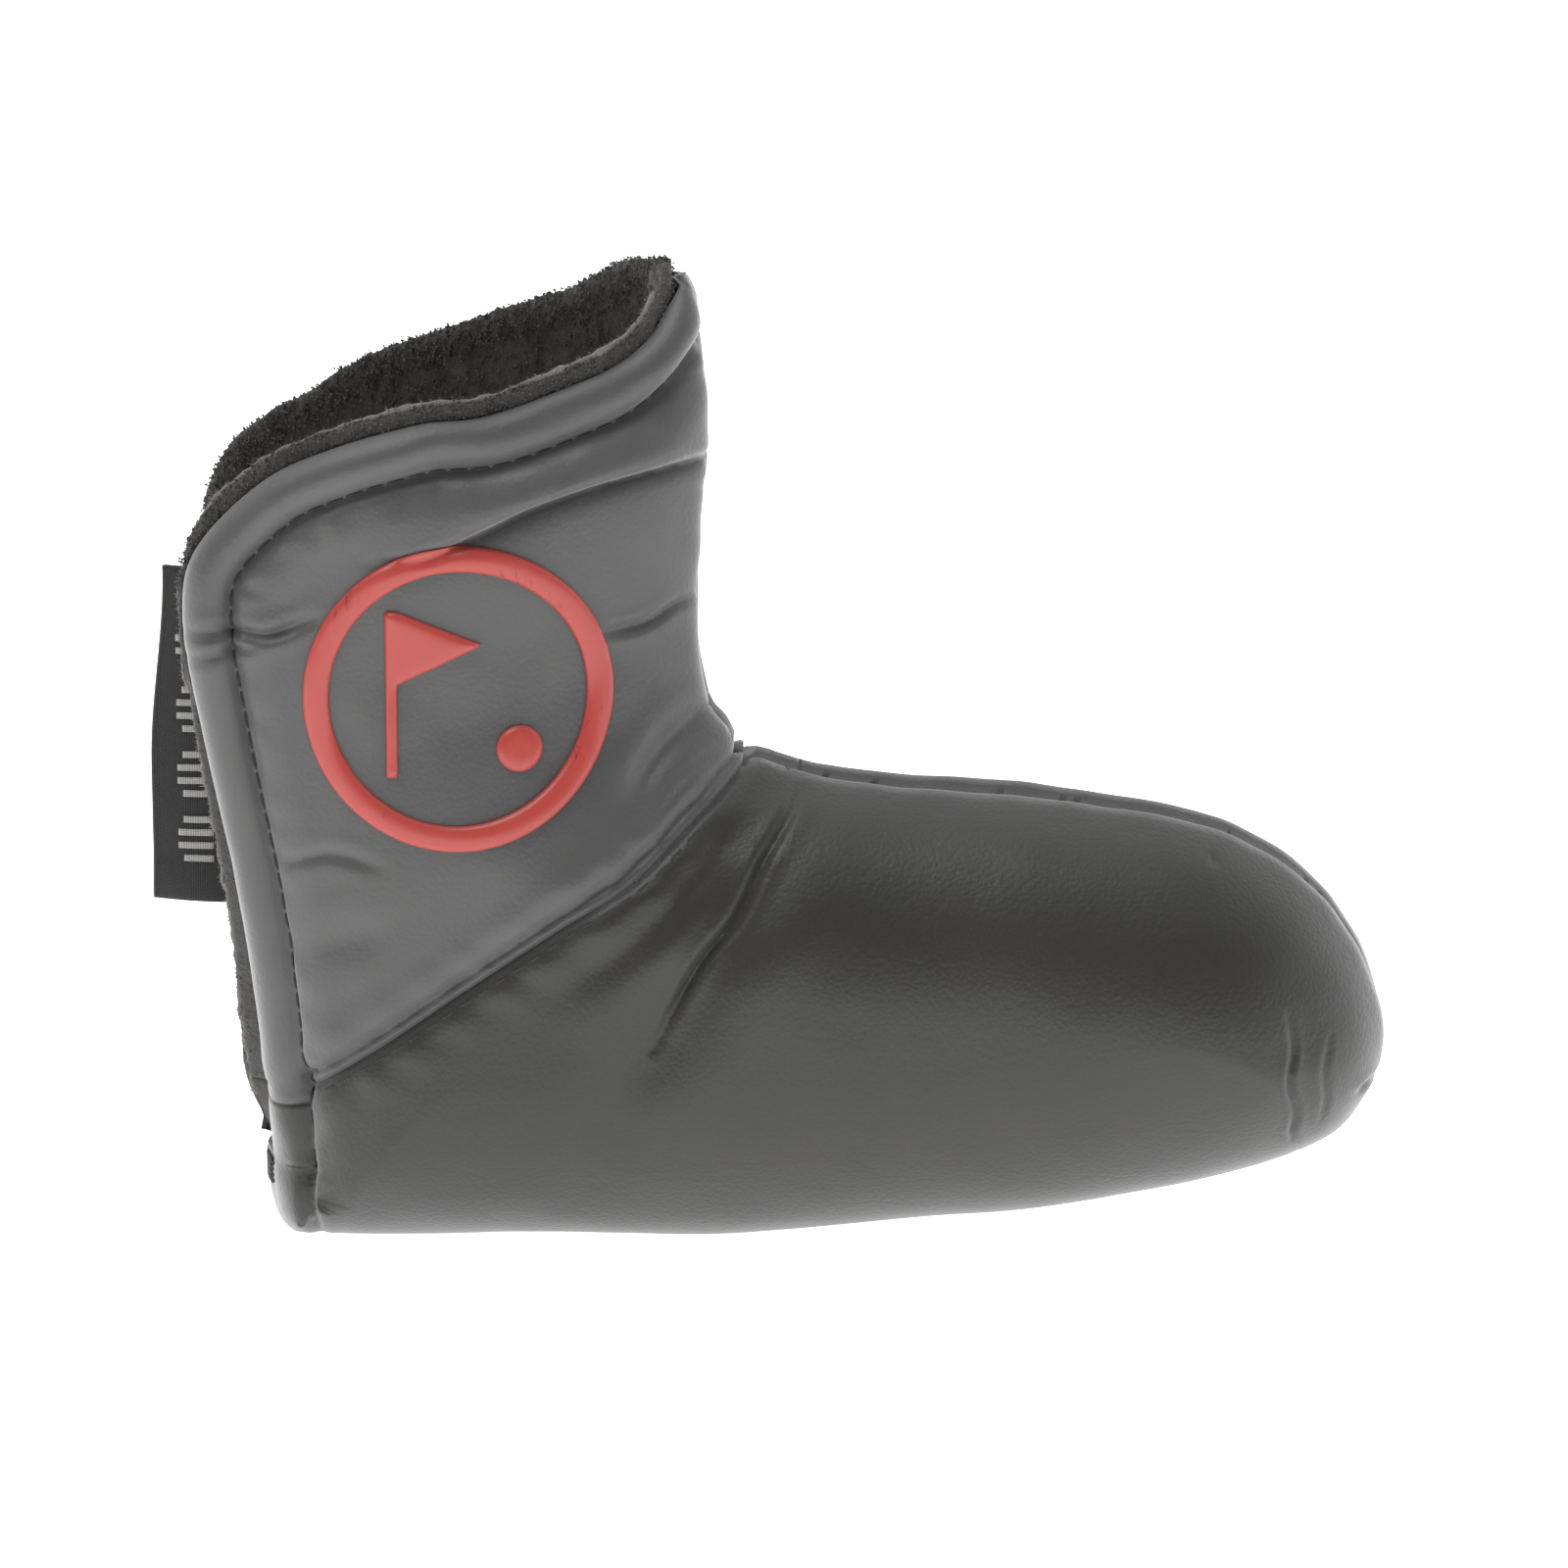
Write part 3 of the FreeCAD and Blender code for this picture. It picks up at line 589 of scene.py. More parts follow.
LINING_PROFILE = [
    # the same for the plush lining, which rolls a little way over the mouth edge
    (2.6, -3.1), (1.2, -2.95), (0.2, -2.7), (-0.7, -2.6), (-1.5, -2.85), (-1.9, -3.4), (-1.85, -4.1),
    (-1.3, -4.7), (-0.3, -5.05), (1.0, -5.1), (2.5, -5.1), (4.0, -5.1), (5.5, -5.1), (7.0, -5.1),
]


def roll_out(ribs, side):
    """How far the lining rolls out of the mouth: fully along the top, hardly at all along the heel."""
    corner = nearest(MOUTH[side], (CORNER_X, 99.0))
    rolled = 0.22 + 0.50 * ease((corner - 8 - ribs) / 60.0) + 0.78 * ease((ribs - corner) / 14.0)
    return rolled * ease((ribs - 1) / 9.0)


def hem_fade(ribs, side):
    """The hem's relief dies away at the slit's foot and at the top, where the two lips meet."""
    head = 0.35 + 0.65 * ease((len(MOUTH[side]) - 1 - ribs) / 5.0)
    return (FOOT_FADE + (1 - FOOT_FADE) * ease(ribs / 6.0)) * head


def hem_groove(points, side):
    """The sunk stitch line between the puffy hem and the panel."""
    line = hem_line(side)
    dist, along, _ = line_distance(points, line)
    ribs = np.interp(along, running_length(line), np.arange(len(line)))
    wave = np.sin(along / 1.1 + 3.5 * noise_at(points, side, 13.0, 11.0))
    pull = 0.16 * wave * bell(dist - 1.8, 2.0) * (1 - bell(dist, 0.7))
    bulge = 0.45 * bell(dist - 4.6, 2.6)
    return hem_fade(ribs, side) * (HEM_PROFILE[0][1] * bell(dist, 0.95) + pull + bulge)


def hem_puff(flat, side, across):
    """Uneven padding in the hem."""
    middle = np.maximum(0.0, 1 - ((across - 3.2) / (HEM - 3.2)) ** 2)
    return middle * 0.30 * noise_at(flat, side, 7.0, 21.0)


def foot_bulge(points, side, usual):
    """Below the slit's foot the puffy strip goes on to the sole. On the foot's row it meets the hem."""
    foot = CLOSED[:16][::-1]
    across = points[:, 0] - np.interp(points[:, 1], foot[:, 1], foot[:, 0])
    rows, lifts = np.array([(0.0, 0.0)] + HEM_PROFILE[8::-1]).T
    swell = FOOT_FADE * np.interp(across, rows, lifts)
    row_z = SLIT_Z + (points[:, 0] - HEEL_X) * RIBS[side][0][1] / RIBS[side][0][0]
    near = ease(1 - (row_z - points[:, 1]) / 3.0)
    reach = (points[:, 0] - HEEL_X) / RIBS[side][0][0]
    exact = FOOT_FADE * (np.interp(reach, rows, lifts) + hem_puff(points, side, reach))
    below = near * exact + (1 - near) * (usual + np.maximum(swell, 0) * ease(points[:, 1] / 7.0))
    return np.where((points[:, 1] <= row_z + 0.01) & (reach <= HEM + 0.01), below, usual)


def panel_lift(points, side):
    """The leather's outer face."""
    return wrinkles(points, side) + foot_bulge(points, side, hem_groove(points, side))


def edge_strip(side, first, last, profile, puffed=True):
    """A turned edge between two ribs, as a grid: along the mouth edge, and across it round the edge."""
    columns = []
    ribs = np.arange(first, last + 1)
    edge = MOUTH[side][ribs]
    inward = RIBS[side][ribs]
    fade = hem_fade(ribs, side)
    rolled = roll_out(ribs, side)[:, None]
    for across, lift in profile:
        flat = edge + across * inward * (rolled if across < 0 else 1.0)
        own = np.full(len(ribs), lift)
        if puffed:
            puff = hem_puff(flat, side, across)
            own = lift * (0.45 + 0.55 * fade if across < 0.5 else fade) + puff * fade
        columns.append(skin(flat, side, own + wrinkles(flat, side)))
    return np.vstack(columns), grid_faces(len(columns), len(ribs))


def joined(parts):
    """Several lists of places and faces as one."""
    places, faces, count = [], [], 0
    for some_places, some_faces in parts:
        places.append(some_places)
        faces += [tuple(i + count for i in face) for face in some_faces]
        count += len(some_places)
    return np.vstack(places), faces


def flat_piece(outline, side, lift, spacing=FINE, rows=EDGE_ROWS):
    """An outline laid on the skin. The lift is a number or a function of the points and the side."""
    flat, faces = triangulate(outline, spacing, rows, detail_rows(side) if spacing == FINE else None)
    depth = lift(flat, side) if callable(lift) else lift
    return skin(flat, side, depth), faces


# ---------------------------------------------------------------- materials

class Nodes:
    """Short calls for building a material's node tree."""

    def __init__(self, name):
        self.material = bpy.data.materials.new(name)
        self.material.use_nodes = True
        self.tree = self.material.node_tree
        self.shader = self.tree.nodes["Principled BSDF"]
        self.place = self.add("ShaderNodeTexCoord").outputs["Object"]

    def add(self, kind, **inputs):
        node = self.tree.nodes.new(kind)
        for key, value in inputs.items():
            self.feed(node.inputs[key.replace("_", " ")], value)
        return node

    def feed(self, socket, value):
        if isinstance(value, bpy.types.NodeSocket):
            self.tree.links.new(value, socket)
        else:
            socket.default_value = value

    def set(self, **inputs):
        for key, value in inputs.items():
            self.feed(self.shader.inputs[key.replace("_", " ")], value)

    def noise(self, scale, detail=3.0, rough=0.5, vector=None):
        node = self.add("ShaderNodeTexNoise", Scale=scale, Detail=detail, Roughness=rough)
        self.tree.links.new(vector or self.place, node.inputs["Vector"])
        return node.outputs["Fac"]

    def cells(self, scale, feature="F1", randomness=1.0, vector=None):
        node = self.add("ShaderNodeTexVoronoi", Scale=scale, Randomness=randomness)
        node.feature = feature
        self.tree.links.new(vector or self.place, node.inputs["Vector"])
        return node.outputs["Distance"]

    def ramp(self, value, stops):
        """A colour ramp from (place, colour) stops."""
        node = self.add("ShaderNodeValToRGB")
        self.tree.links.new(value, node.inputs["Fac"])
        while len(node.color_ramp.elements) < len(stops):
            node.color_ramp.elements.new(0.5)
        for element, (place, colour) in zip(node.color_ramp.elements, stops):
            element.position = place
            element.color = colour if len(colour) == 4 else (*colour, 1)
        return node.outputs["Color"]

    def math(self, operation, a, b=0.0):
        node = self.add("ShaderNodeMath")
        node.operation = operation
        self.feed(node.inputs[0], a)
        self.feed(node.inputs[1], b)
        return node.outputs["Value"]

    def bump(self, height, strength, distance, under=None):
        node = self.add("ShaderNodeBump", Strength=strength, Distance=distance * MM, Height=height)
        if under is not None:
            self.tree.links.new(under, node.inputs["Normal"])
        return node.outputs["Normal"]


def grey(value, warm=0.0):
    return (value * (1 + warm), value, value * (1 - warm), 1)


def leather(name, shade, rough, warm):
    """Fine-grained synthetic leather: small cells, hair-fine creases and a little uneven shade."""
    n = Nodes(name)
    pebbles = n.cells(1500.0)
    crossing = n.cells(520.0, "DISTANCE_TO_EDGE")
    grain = n.noise(3200.0, 4.0, 0.6)
    cloud = n.noise(34.0, 3.0, 0.55)
    colour = n.ramp(cloud, [(0.30, grey(shade * 0.88, warm)), (0.70, grey(shade * 1.12, warm))])
    height = n.math("ADD", n.math("MULTIPLY", pebbles, -0.8), n.math("MULTIPLY", crossing, 0.35))
    fine = n.bump(grain, 0.20, 0.08)
    coarse = n.bump(height, 0.30, 0.16, fine)
    roughness = n.math("ADD", n.math("MULTIPLY", grain, 0.16), rough - 0.08)
    n.set(Base_Color=colour, Roughness=roughness, Normal=coarse)
    n.set(Sheen_Weight=0.55, Sheen_Roughness=0.40, Specular_IOR_Level=0.5)
    return n.material


def plush(name, shade, tip):
    """Short pile with random patches. Its colour follows the tufts' bump: painted shade between the tufts
    and a painted highlight on their tips.
    """
    n = Nodes(name)
    tufts = n.noise(1100.0, 5.0, 0.75)
    patches = n.noise(120.0, 3.0, 0.6)
    tuft_shade_and_patches = n.math("MULTIPLY", tufts, patches)
    # Painted shade between the tufts and painted highlight on their tips, varied by random patches.
    colour = n.ramp(tuft_shade_and_patches, [(0.12, grey(shade, 0.06)), (0.42, grey(tip, 0.09))])
    n.set(Base_Color=colour, Roughness=0.95, Sheen_Weight=0.25, Sheen_Roughness=0.6)
    n.set(Normal=n.bump(tufts, 0.9, 0.8))
    return n.material


def thread(name, shade):
    """Twisted thread: slanting light and dark bands."""
    n = Nodes(name)
    twist = n.add("ShaderNodeTexWave", Scale=1500.0, Distortion=1.5)
    twist.bands_direction = "DIAGONAL"
    n.tree.links.new(n.place, twist.inputs["Vector"])
    colour = n.ramp(twist.outputs["Fac"], [(0.0, grey(shade * 0.7)), (1.0, grey(shade * 1.25))])
    n.set(Base_Color=colour, Roughness=0.6, Normal=n.bump(twist.outputs["Fac"], 0.5, 0.08))
    return n.material


def moulded(name, colour, worn):
    """Satin moulded rubber with fine brushing and a few dark rubbed streaks."""
    n = Nodes(name)
    stretch = n.add("ShaderNodeMapping", Vector=n.place)
    stretch.inputs["Scale"].default_value = (1.0, 1.0, 0.16)
    streaks = n.noise(900.0, 4.0, 0.6, stretch.outputs["Vector"])
    patches = n.noise(75.0, 2.0, 0.5)
    rubbed = n.math("MULTIPLY", streaks, patches)
    n.set(Base_Color=n.ramp(rubbed, [(0.10, colour), (0.34, colour), (0.43, worn)]))
    n.set(Roughness=n.math("ADD", n.math("MULTIPLY", streaks, 0.22), 0.22))
    n.set(Normal=n.bump(streaks, 0.15, 0.06))
    return n.material


def foam(name):
    """Open-celled padding."""
    n = Nodes(name)
    cells = n.cells(1400.0)
    n.set(Base_Color=n.ramp(cells, [(0.0, grey(0.12)), (0.7, grey(0.26))]), Roughness=0.95)
    n.set(Normal=n.bump(cells, 0.8, 0.4))
    return n.material


def metal(name):
    """Lightly brushed plated steel."""
    n = Nodes(name)
    brush = n.noise(400.0, 2.0, 0.5)
    n.set(Base_Color=n.ramp(brush, [(0.2, grey(0.5)), (0.8, grey(0.66))]), Metallic=1.0)
    n.set(Roughness=n.math("ADD", n.math("MULTIPLY", brush, 0.15), 0.22))
    return n.material


def woven(name, shade, warm=0.0):
    """Fine ribbed tape: warp and weft threads crossing."""
    n = Nodes(name)
    warp = n.add("ShaderNodeTexWave", Scale=900.0)
    warp.bands_direction = "X"
    weft = n.add("ShaderNodeTexWave", Scale=1300.0)
    weft.bands_direction = "Z"
    for wave in (warp, weft):
        n.tree.links.new(n.place, wave.inputs["Vector"])
    height = n.math("MULTIPLY", warp.outputs["Fac"], weft.outputs["Fac"])
    n.set(Base_Color=n.ramp(height, [(0.0, grey(shade * 0.6, warm)), (0.8, grey(shade * 1.4, warm))]))
    n.set(Roughness=0.8, Normal=n.bump(height, 0.7, 0.15), Sheen_Weight=0.2)
    return n.material


GREY_LEATHER = leather("grey_leather", 0.083, 0.45, 0.01)
DARK_LEATHER = leather("charcoal_leather", 0.027, 0.45, 0.05)
# Pile colour from painted shade between the tufts to painted highlight on their tips.
PLUSH = plush("black_plush", 0.026, 0.075)
# A lighter copy of the plush for the lining's crest: a painted highlight.
PLUSH_CREST_HIGHLIGHT = plush("plush_crest_highlight", 0.150, 0.330)
GREY_THREAD = thread("grey_thread", 0.028)
DARK_THREAD = thread("charcoal_thread", 0.020)
RED_RUBBER = moulded("emblem_rubber", (0.47, 0.066, 0.055, 1), (0.15, 0.020, 0.018, 1))
FOAM = foam("padding_foam")
METAL = metal("magnet_metal")
TAPE = woven("label_tape", 0.018, 0.03)
TAPE_THREAD = woven("label_thread", 0.42, 0.02)

WORD = {-1: "front", 1: "back"}


# ---------------------------------------------------------------- joints

def fold_ends():
    """Two places either side of the lip's fold, square to it."""
    hinge = next(j for j in frame["joints"] if j["name"] == "front_lip_fold")
    place = Vector(hinge["pos_m"])
    along = Vector(hinge["axis"])
    towards_heel = Vector((-along.z, 0, along.x))
    place.y = 0
    return place - towards_heel * 9 * MM, place + towards_heel * 13 * MM


FOLD_START, FOLD_END = fold_ends()


def label_bends(piece):
    """Bakes the label piece's placement into its mesh."""
    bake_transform(piece)


def bends(piece):
    """Bakes the piece's placement into its mesh."""
    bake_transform(piece)


# ---------------------------------------------------------------- wall

def body_layer(name, lift, profile, material, spacing=FINE, rows=EDGE_ROWS, puffed=True):
    """One layer of the dark body's wall, both sides in one mesh."""
    parts = []
    for side in (-1, 1):
        parts.append(flat_piece(body_outline(side), side, lift, spacing, rows))
        parts.append(edge_strip(side, 0, seam_rib(side), profile, puffed))
    places, faces = joined(parts)
    piece = make_object(name, places, faces, material)
    weld(piece)
    return piece


def sleeve_layer(name, side, lift, profile, material, spacing=FINE, rows=EDGE_ROWS, puffed=True):
    """One layer of one side's grey panel, from the panel seam to the lip's edge."""
    parts = [flat_piece(sleeve_outline(side), side, lift, spacing, rows),
             edge_strip(side, seam_rib(side), len(MOUTH[side]) - 1, profile, puffed)]
    places, faces = joined(parts)
    piece = make_object(name, places, faces, material)
    weld(piece)
    return piece


def foam_lift(points, side):
    return wrinkles(points, side) - FOAM_TOP


def lining_lift(points, side):
    return wrinkles(points, side) + LINING_PROFILE[-1][1]


def pile_lumps(piece, reach, scale):
    """Uneven clumps of pile: moves each vertex along its normal."""
    for vertex in piece.data.vertices:
        place = vertex.co / (scale * MM)
        vertex.co += vertex.normal * reach * MM * (noise.noise(place) + 0.5 * noise.noise(place * 2.3))


# The foam's outer face under the skin, its thickness, and its edge inside the hem.
FOAM_TOP = 1.8
FOAM_THICK = 1.3
FOAM_PROFILE = [(7.0, -FOAM_TOP), (5.0, -FOAM_TOP), (3.2, -FOAM_TOP)]


def build_leather():
    body = body_layer("body_leather_shell", panel_lift, HEM_PROFILE, DARK_LEATHER)
    thicken(body, LEATHER)
    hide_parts("body_leather")
    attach(body, "cover")
    for side, word in WORD.items():
        panel = sleeve_layer(word + "_panel_leather", side, panel_lift, HEM_PROFILE, GREY_LEATHER)
        thicken(panel, LEATHER)
        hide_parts(word + "_sleeve_panel", word + "_lip_panel")
        bends(panel)


def build_foam():
    body = body_layer("body_foam_pad", foam_lift, FOAM_PROFILE, FOAM, FOAM_FINE, COARSE_ROWS, False)
    thicken(body, FOAM_THICK)
    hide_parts("body_foam")
    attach(body, "cover")
    for side, word in WORD.items():
        pad = sleeve_layer(word + "_foam_pad", side, foam_lift, FOAM_PROFILE, FOAM, FOAM_FINE,
                           COARSE_ROWS, False)
        thicken(pad, FOAM_THICK)
        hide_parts(word + "_sleeve_foam", word + "_lip_foam")
        bends(pad)


def tufts(piece, wanted, length, width, seed, keep=None):
    """Small leaning spikes of pile scattered over a piece's faces, as places and faces."""
    chance = np.random.default_rng(seed)
    mesh = piece.data
    centres = np.array([tuple(face.center) for face in mesh.polygons]) / MM
    normals = np.array([tuple(face.normal) for face in mesh.polygons])
    areas = np.array([face.area for face in mesh.polygons])
    if keep is not None:
        areas = areas * keep(centres)
    picked = chance.choice(len(areas), wanted, p=areas / areas.sum())
    spread = np.sqrt(areas[picked])[:, None] / MM * 0.5
    root = centres[picked] + chance.normal(0, 0.6, (wanted, 3)) * spread
    lean = unit(normals[picked] + chance.normal(0, 0.45, (wanted, 3)) + [0, 0, -0.1])
    across = unit(np.cross(lean, chance.normal(0, 1, (wanted, 3))))
    other = np.cross(lean, across)
    reach = (length * chance.uniform(0.45, 1.25, wanted))[:, None]
    wide = (width * chance.uniform(0.6, 1.3, wanted))[:, None]
    root = root - 0.15 * normals[picked]
    corners = [root + wide * (math.cos(turn) * across + math.sin(turn) * other)
               for turn in (0.0, 2.1, 4.2)]
    tip = root + reach * lean
    places = np.stack(corners + [tip], axis=1).reshape(-1, 3)
    faces = [(4 * k + a, 4 * k + b, 4 * k + 3) for k in range(wanted) for a, b in ((0, 1), (1, 2), (2, 0))]
    faces += [(4 * k + 2, 4 * k + 1, 4 * k) for k in range(wanted)]
    return places, faces


def near_mouth(side, reach, heel_share=1.0):
    """How much pile each place carries: within reach of the mouth edge, and less along the heel."""
    def weigh(places):
        dist, _, _ = line_distance(places[:, [0, 2]], MOUTH[side])
        return (dist < reach) * np.where(places[:, 2] > 100.0, 1.0, heel_share)
    return weigh


def face_inwards(piece, side):
    """Turns the lining's faces so that their pile side looks into the pocket."""
    mesh = piece.data
    deep = [face for face in mesh.polygons if abs(face.normal.y) > 0.8]
    total = sum(face.normal.y * face.area for face in deep)
    if total * side > 0:
        mesh.flip_normals()


def build_lining():
    body = body_layer("body_plush_lining", lining_lift, LINING_PROFILE, PLUSH, BODY_LINING_FINE,
                      COARSE_ROWS, False)
    thicken(body, LINING, 1.0)
    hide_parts("body_lining")
    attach(body, "cover")
    for side, word in WORD.items():
        lining = sleeve_layer(word + "_plush_lining", side, lining_lift, LINING_PROFILE, PLUSH,
                              LIP_LINING_FINE, COARSE_ROWS, False)
        face_inwards(lining, side)
        pile_lumps(lining, 0.30, 2.4)
        pile = tufts(lining, 12000, 0.36, 0.26, 5 + side, near_mouth(side, 34.0, 0.3))
        rim = tufts(lining, 9000, 0.42, 0.24, 15 + side, near_mouth(side, 2.6, 0.0))
        thicken(lining, LINING, -1.0)
        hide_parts(word + "_sleeve_lining", word + "_lip_lining")
        bends(lining)
        fur = make_object(word + "_plush_pile", *joined([pile, rim]), PLUSH, False)
        bends(fur)
        # The lining's crest gets a lighter strip: a painted highlight.
        build_crest_highlight(side, word)


# The section of the lighter strip along the lining's crest, whose colour is a painted highlight, as
# distance inside the mouth edge and lift, for each side.
CREST_HIGHLIGHT_SECTION = {-1: ((-1.4, -3.8), (-2.3, -3.9), (-2.35, -4.3), (-1.3, -4.8)),
            1: ((-0.5, -2.4), (-1.2, -2.3), (-1.3, -2.7), (-0.8, -3.1))}


def build_crest_highlight(side, word):
    """A lighter strip with loose fibres along the crest of the rolled lining. Its colour is a painted
    highlight where light catches the crest.
    """
    ribs = np.arange(6, len(MOUTH[side]) - 4)
    edge = MOUTH[side][ribs]
    inward = RIBS[side][ribs]
    rows = []
    rolled = roll_out(ribs, side)[:, None]
    for across, lift in CREST_HIGHLIGHT_SECTION[side]:
        flat = edge + across * inward * rolled
        ragged = 0.45 * noise_at(flat, side, 1.6, 41.0) + 0.45 * noise_at(flat, side, 5.0, 43.0)
        flat = flat - ragged[:, None] * inward
        rows.append(skin(flat, side, lift + 0.8 * ragged + wrinkles(flat, side)))
    faces = grid_faces(len(rows), len(ribs))
    # The strip takes the lighter plush: a painted highlight on the crest.
    strip = make_object(word + "_lining_crest_highlight", np.vstack(rows), faces, PLUSH_CREST_HIGHLIGHT)
    weld(strip)
    # Loose fibres in the same painted-highlight colour.
    crest_highlight_tufts = tufts(strip, 2200, 0.7, 0.08, 31 + side)
    back = tufts(strip, 2200, 0.5, 0.08, 51 + side)
    thicken(strip, 0.25, 0.0)
    whole = make_object("crest_highlight_tufts", *joined([crest_highlight_tufts, back]), PLUSH_CREST_HIGHLIGHT, False)
    join_into(strip, whole)
    bends(strip)


def join_into(piece, other):
    """Adds another object's mesh to a piece."""
    work = bmesh.new()
    work.from_mesh(piece.data)
    work.from_mesh(other.data)
    work.to_mesh(piece.data)
    work.free()
    bpy.data.objects.remove(other)


# ---------------------------------------------------------------- stitches

def tube(route, radius, sides=7):
    """A closed round tube along a route of places."""
    route = np.asarray(route, float)
    tangent = tangents(route)
    first = unit(np.cross(tangent, [0.31, 0.17, 0.93]))
    second = np.cross(tangent, first)
    turns = 2 * np.pi * np.arange(sides) / sides
    rings = route[:, None] + radius * (np.cos(turns)[None, :, None] * first[:, None]
                                       + np.sin(turns)[None, :, None] * second[:, None])
    faces = grid_faces(len(route), sides, round_rows=True)
    faces.append(tuple(range(sides))[::-1])
    faces.append(tuple(range((len(route) - 1) * sides, len(route) * sides)))
    return rings.reshape(-1, 3), faces


# A stitch's section: share of its length, and lift.
ARCH = [(0.0, -0.40), (0.12, -0.04), (0.34, 0.08), (0.66, 0.08), (0.88, -0.04), (1.0, -0.40)]


def stitches(line, side, base, pitch=3.0, length=2.8, radius=0.22):
    """A row of stitches along a flat line, each a short arch of thread that dips into the leather."""
    lengths = running_length(line)
    count = int(lengths[-1] // pitch)
    starts = 0.5 * (lengths[-1] - count * pitch) + pitch * np.arange(count)
    share, arch = np.array(ARCH).T
    at = (starts[:, None] + length * share).ravel()
    flat = np.column_stack([np.interp(at, lengths, line[:, k]) for k in (0, 1)])
    places = skin(flat, side, base(flat, side) + np.tile(arch, count))
    return joined([tube(route, radius) for route in places.reshape(count, len(share), 3)])


def seam_offset(distance):
    """The panel seam moved square to itself, up for a positive distance."""
    return SEAM + distance * leftwards(tangents(SEAM))


def sunk_lift(points, side):
    """The seams' stitches are pulled down until they hardly show."""
    return panel_lift(points, side) - 0.18


def build_threads():
    for side, word in WORD.items():
        hem = hem_line(side)[6:-5]
        row = make_object(word + "_hem_stitches", *stitches(hem, side, panel_lift), GREY_THREAD)
        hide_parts(word + "_hem_thread")
        bends(row)
        for level, offset in (("upper", ROW_UP), ("lower", -ROW_DOWN)):
            line = seam_offset(offset)[9:-9]
            seam = stitches(line, side, sunk_lift)
            row = make_object(f"{word}_seam_stitches_{level}", *seam, GREY_THREAD)
            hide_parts(f"{word}_seam_thread_{level}")
            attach(row, "cover")
    crotch = nearest(CLOSED, SEAM[-1])
    tip = int(CLOSED[:, 0].argmax())
    for name, line, node in (("crown_seam_stitches", CLOSED[tip:crotch - 3], "crown_seam_thread"),
                             ("toe_side_stitches", CLOSED[crotch + 4:-6], "toe_side_seam_thread")):
        row = make_object(name, *stitches(line, -1, sunk_lift, 2.6, 2.0, 0.22), DARK_THREAD)
        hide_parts(node)
        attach(row, "cover")


def build_bartack():
    """Close zigzag stitches across the heel that lock the foot of the slit."""
    parts = []
    for number in range(9):
        z = SLIT_Z - 0.6 - 0.45 * number
        reach = 1.5 if number % 2 else 1.1
        near = np.array([[HEEL_X + reach, z], [HEEL_X + 0.5 * reach, z - 0.1],
                         [HEEL_X + 0.25, z - 0.15]])
        halves = [skin(flat, side, wrinkles(flat, side) + 0.12)
                  for flat, side in ((near, -1), (near[::-1], 1))]
        parts.append(tube(np.vstack(halves), 0.21))
    piece = make_object("slit_bartack_stitches", *joined(parts), GREY_THREAD)
    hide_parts("slit_bartack")
    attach(piece, "cover")


# ---------------------------------------------------------------- emblem

# The emblem's rounded shoulder, as distance from its edge and lift, and its ring's width.
EMBLEM_PROFILE = [(0.0, -0.5), (0.0, 0.25), (0.12, 0.55), (0.45, 0.85), (1.0, 1.02), (1.7, 1.08)]
RING_BAND = 3.6


def disc_of(low, high):
    """The centre and radius, in X and Z, of a round node whose box has these corners."""
    return 0.5 * (low + high)[[0, 2]], 0.5 * (high[0] - low[0])


def build_ring():
    """The emblem's ring: a raised band with rounded shoulders."""
    low = np.minimum(box_mm("emblem_ring_body")[0], box_mm("emblem_ring_lip")[0])
    high = np.maximum(box_mm("emblem_ring_body")[1], box_mm("emblem_ring_lip")[1])
    centre, radius = disc_of(low, high)
    rows = EMBLEM_PROFILE + [(RING_BAND - across, lift) for across, lift in EMBLEM_PROFILE[::-1]]
    circle = unit_circle(240)
    places = []
    for across, lift in rows:
        flat = centre + (radius - across) * circle
        places.append(skin(flat, -1, panel_lift(flat, -1) + lift))
    faces = grid_faces(len(rows), len(circle), round_rows=True, round_columns=True)
    ring = make_object("emblem_ring", np.vstack(places), faces, RED_RUBBER)
    weld(ring, 0.001)
    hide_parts("emblem_ring_body", "emblem_ring_lip")
    bends(ring)


def raised_piece(name, outline, node):
    """A closed raised shape on the front panel. Its shoulders are round and its edge is sunk in."""
    flat, faces = triangulate(outline, 0.7, [0.12, 0.45, 0.9])
    dist, _, _ = line_distance(flat, np.vstack([outline, outline[:1]]))
    across = [row[0] for row in EMBLEM_PROFILE[1:]]
    lift = np.interp(dist, across, [row[1] for row in EMBLEM_PROFILE[1:]])
    base = panel_lift(flat, -1)
    top = skin(flat, -1, base + lift)
    bottom = skin(flat, -1, base - 0.5)
    count = len(flat)
    rim = [(i, (i + 1) % len(outline)) for i in range(len(outline))]
    sides = [(a, b, b + count, a + count) for a, b in rim]
    faces = list(faces) + [tuple(i + count for i in face[::-1]) for face in faces] + sides
    piece = make_object(name, np.vstack([top, bottom]), faces, RED_RUBBER)
    weld(piece, 0.001)
    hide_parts(node)
    bends(piece)


def build_flag_and_ball():
    low, high = box_mm("emblem_flag")
    pole = 1.6
    corners = [(low[0], low[2]), (low[0] + pole, low[2]), (low[0] + pole, high[2] - 10.5),
               (high[0], high[2] - 5.2), (low[0] + pole, high[2]), (low[0], high[2])]
    raised_piece("emblem_flag_piece", resample(np.array(corners + corners[:1]), 0.7)[:-1], "emblem_flag")
    centre, radius = disc_of(*box_mm("emblem_ball"))
    raised_piece("emblem_ball_piece", centre + radius * unit_circle(40), "emblem_ball")


# ---------------------------------------------------------------- label

LABEL_LOW, LABEL_HIGH = box_mm("side_label")


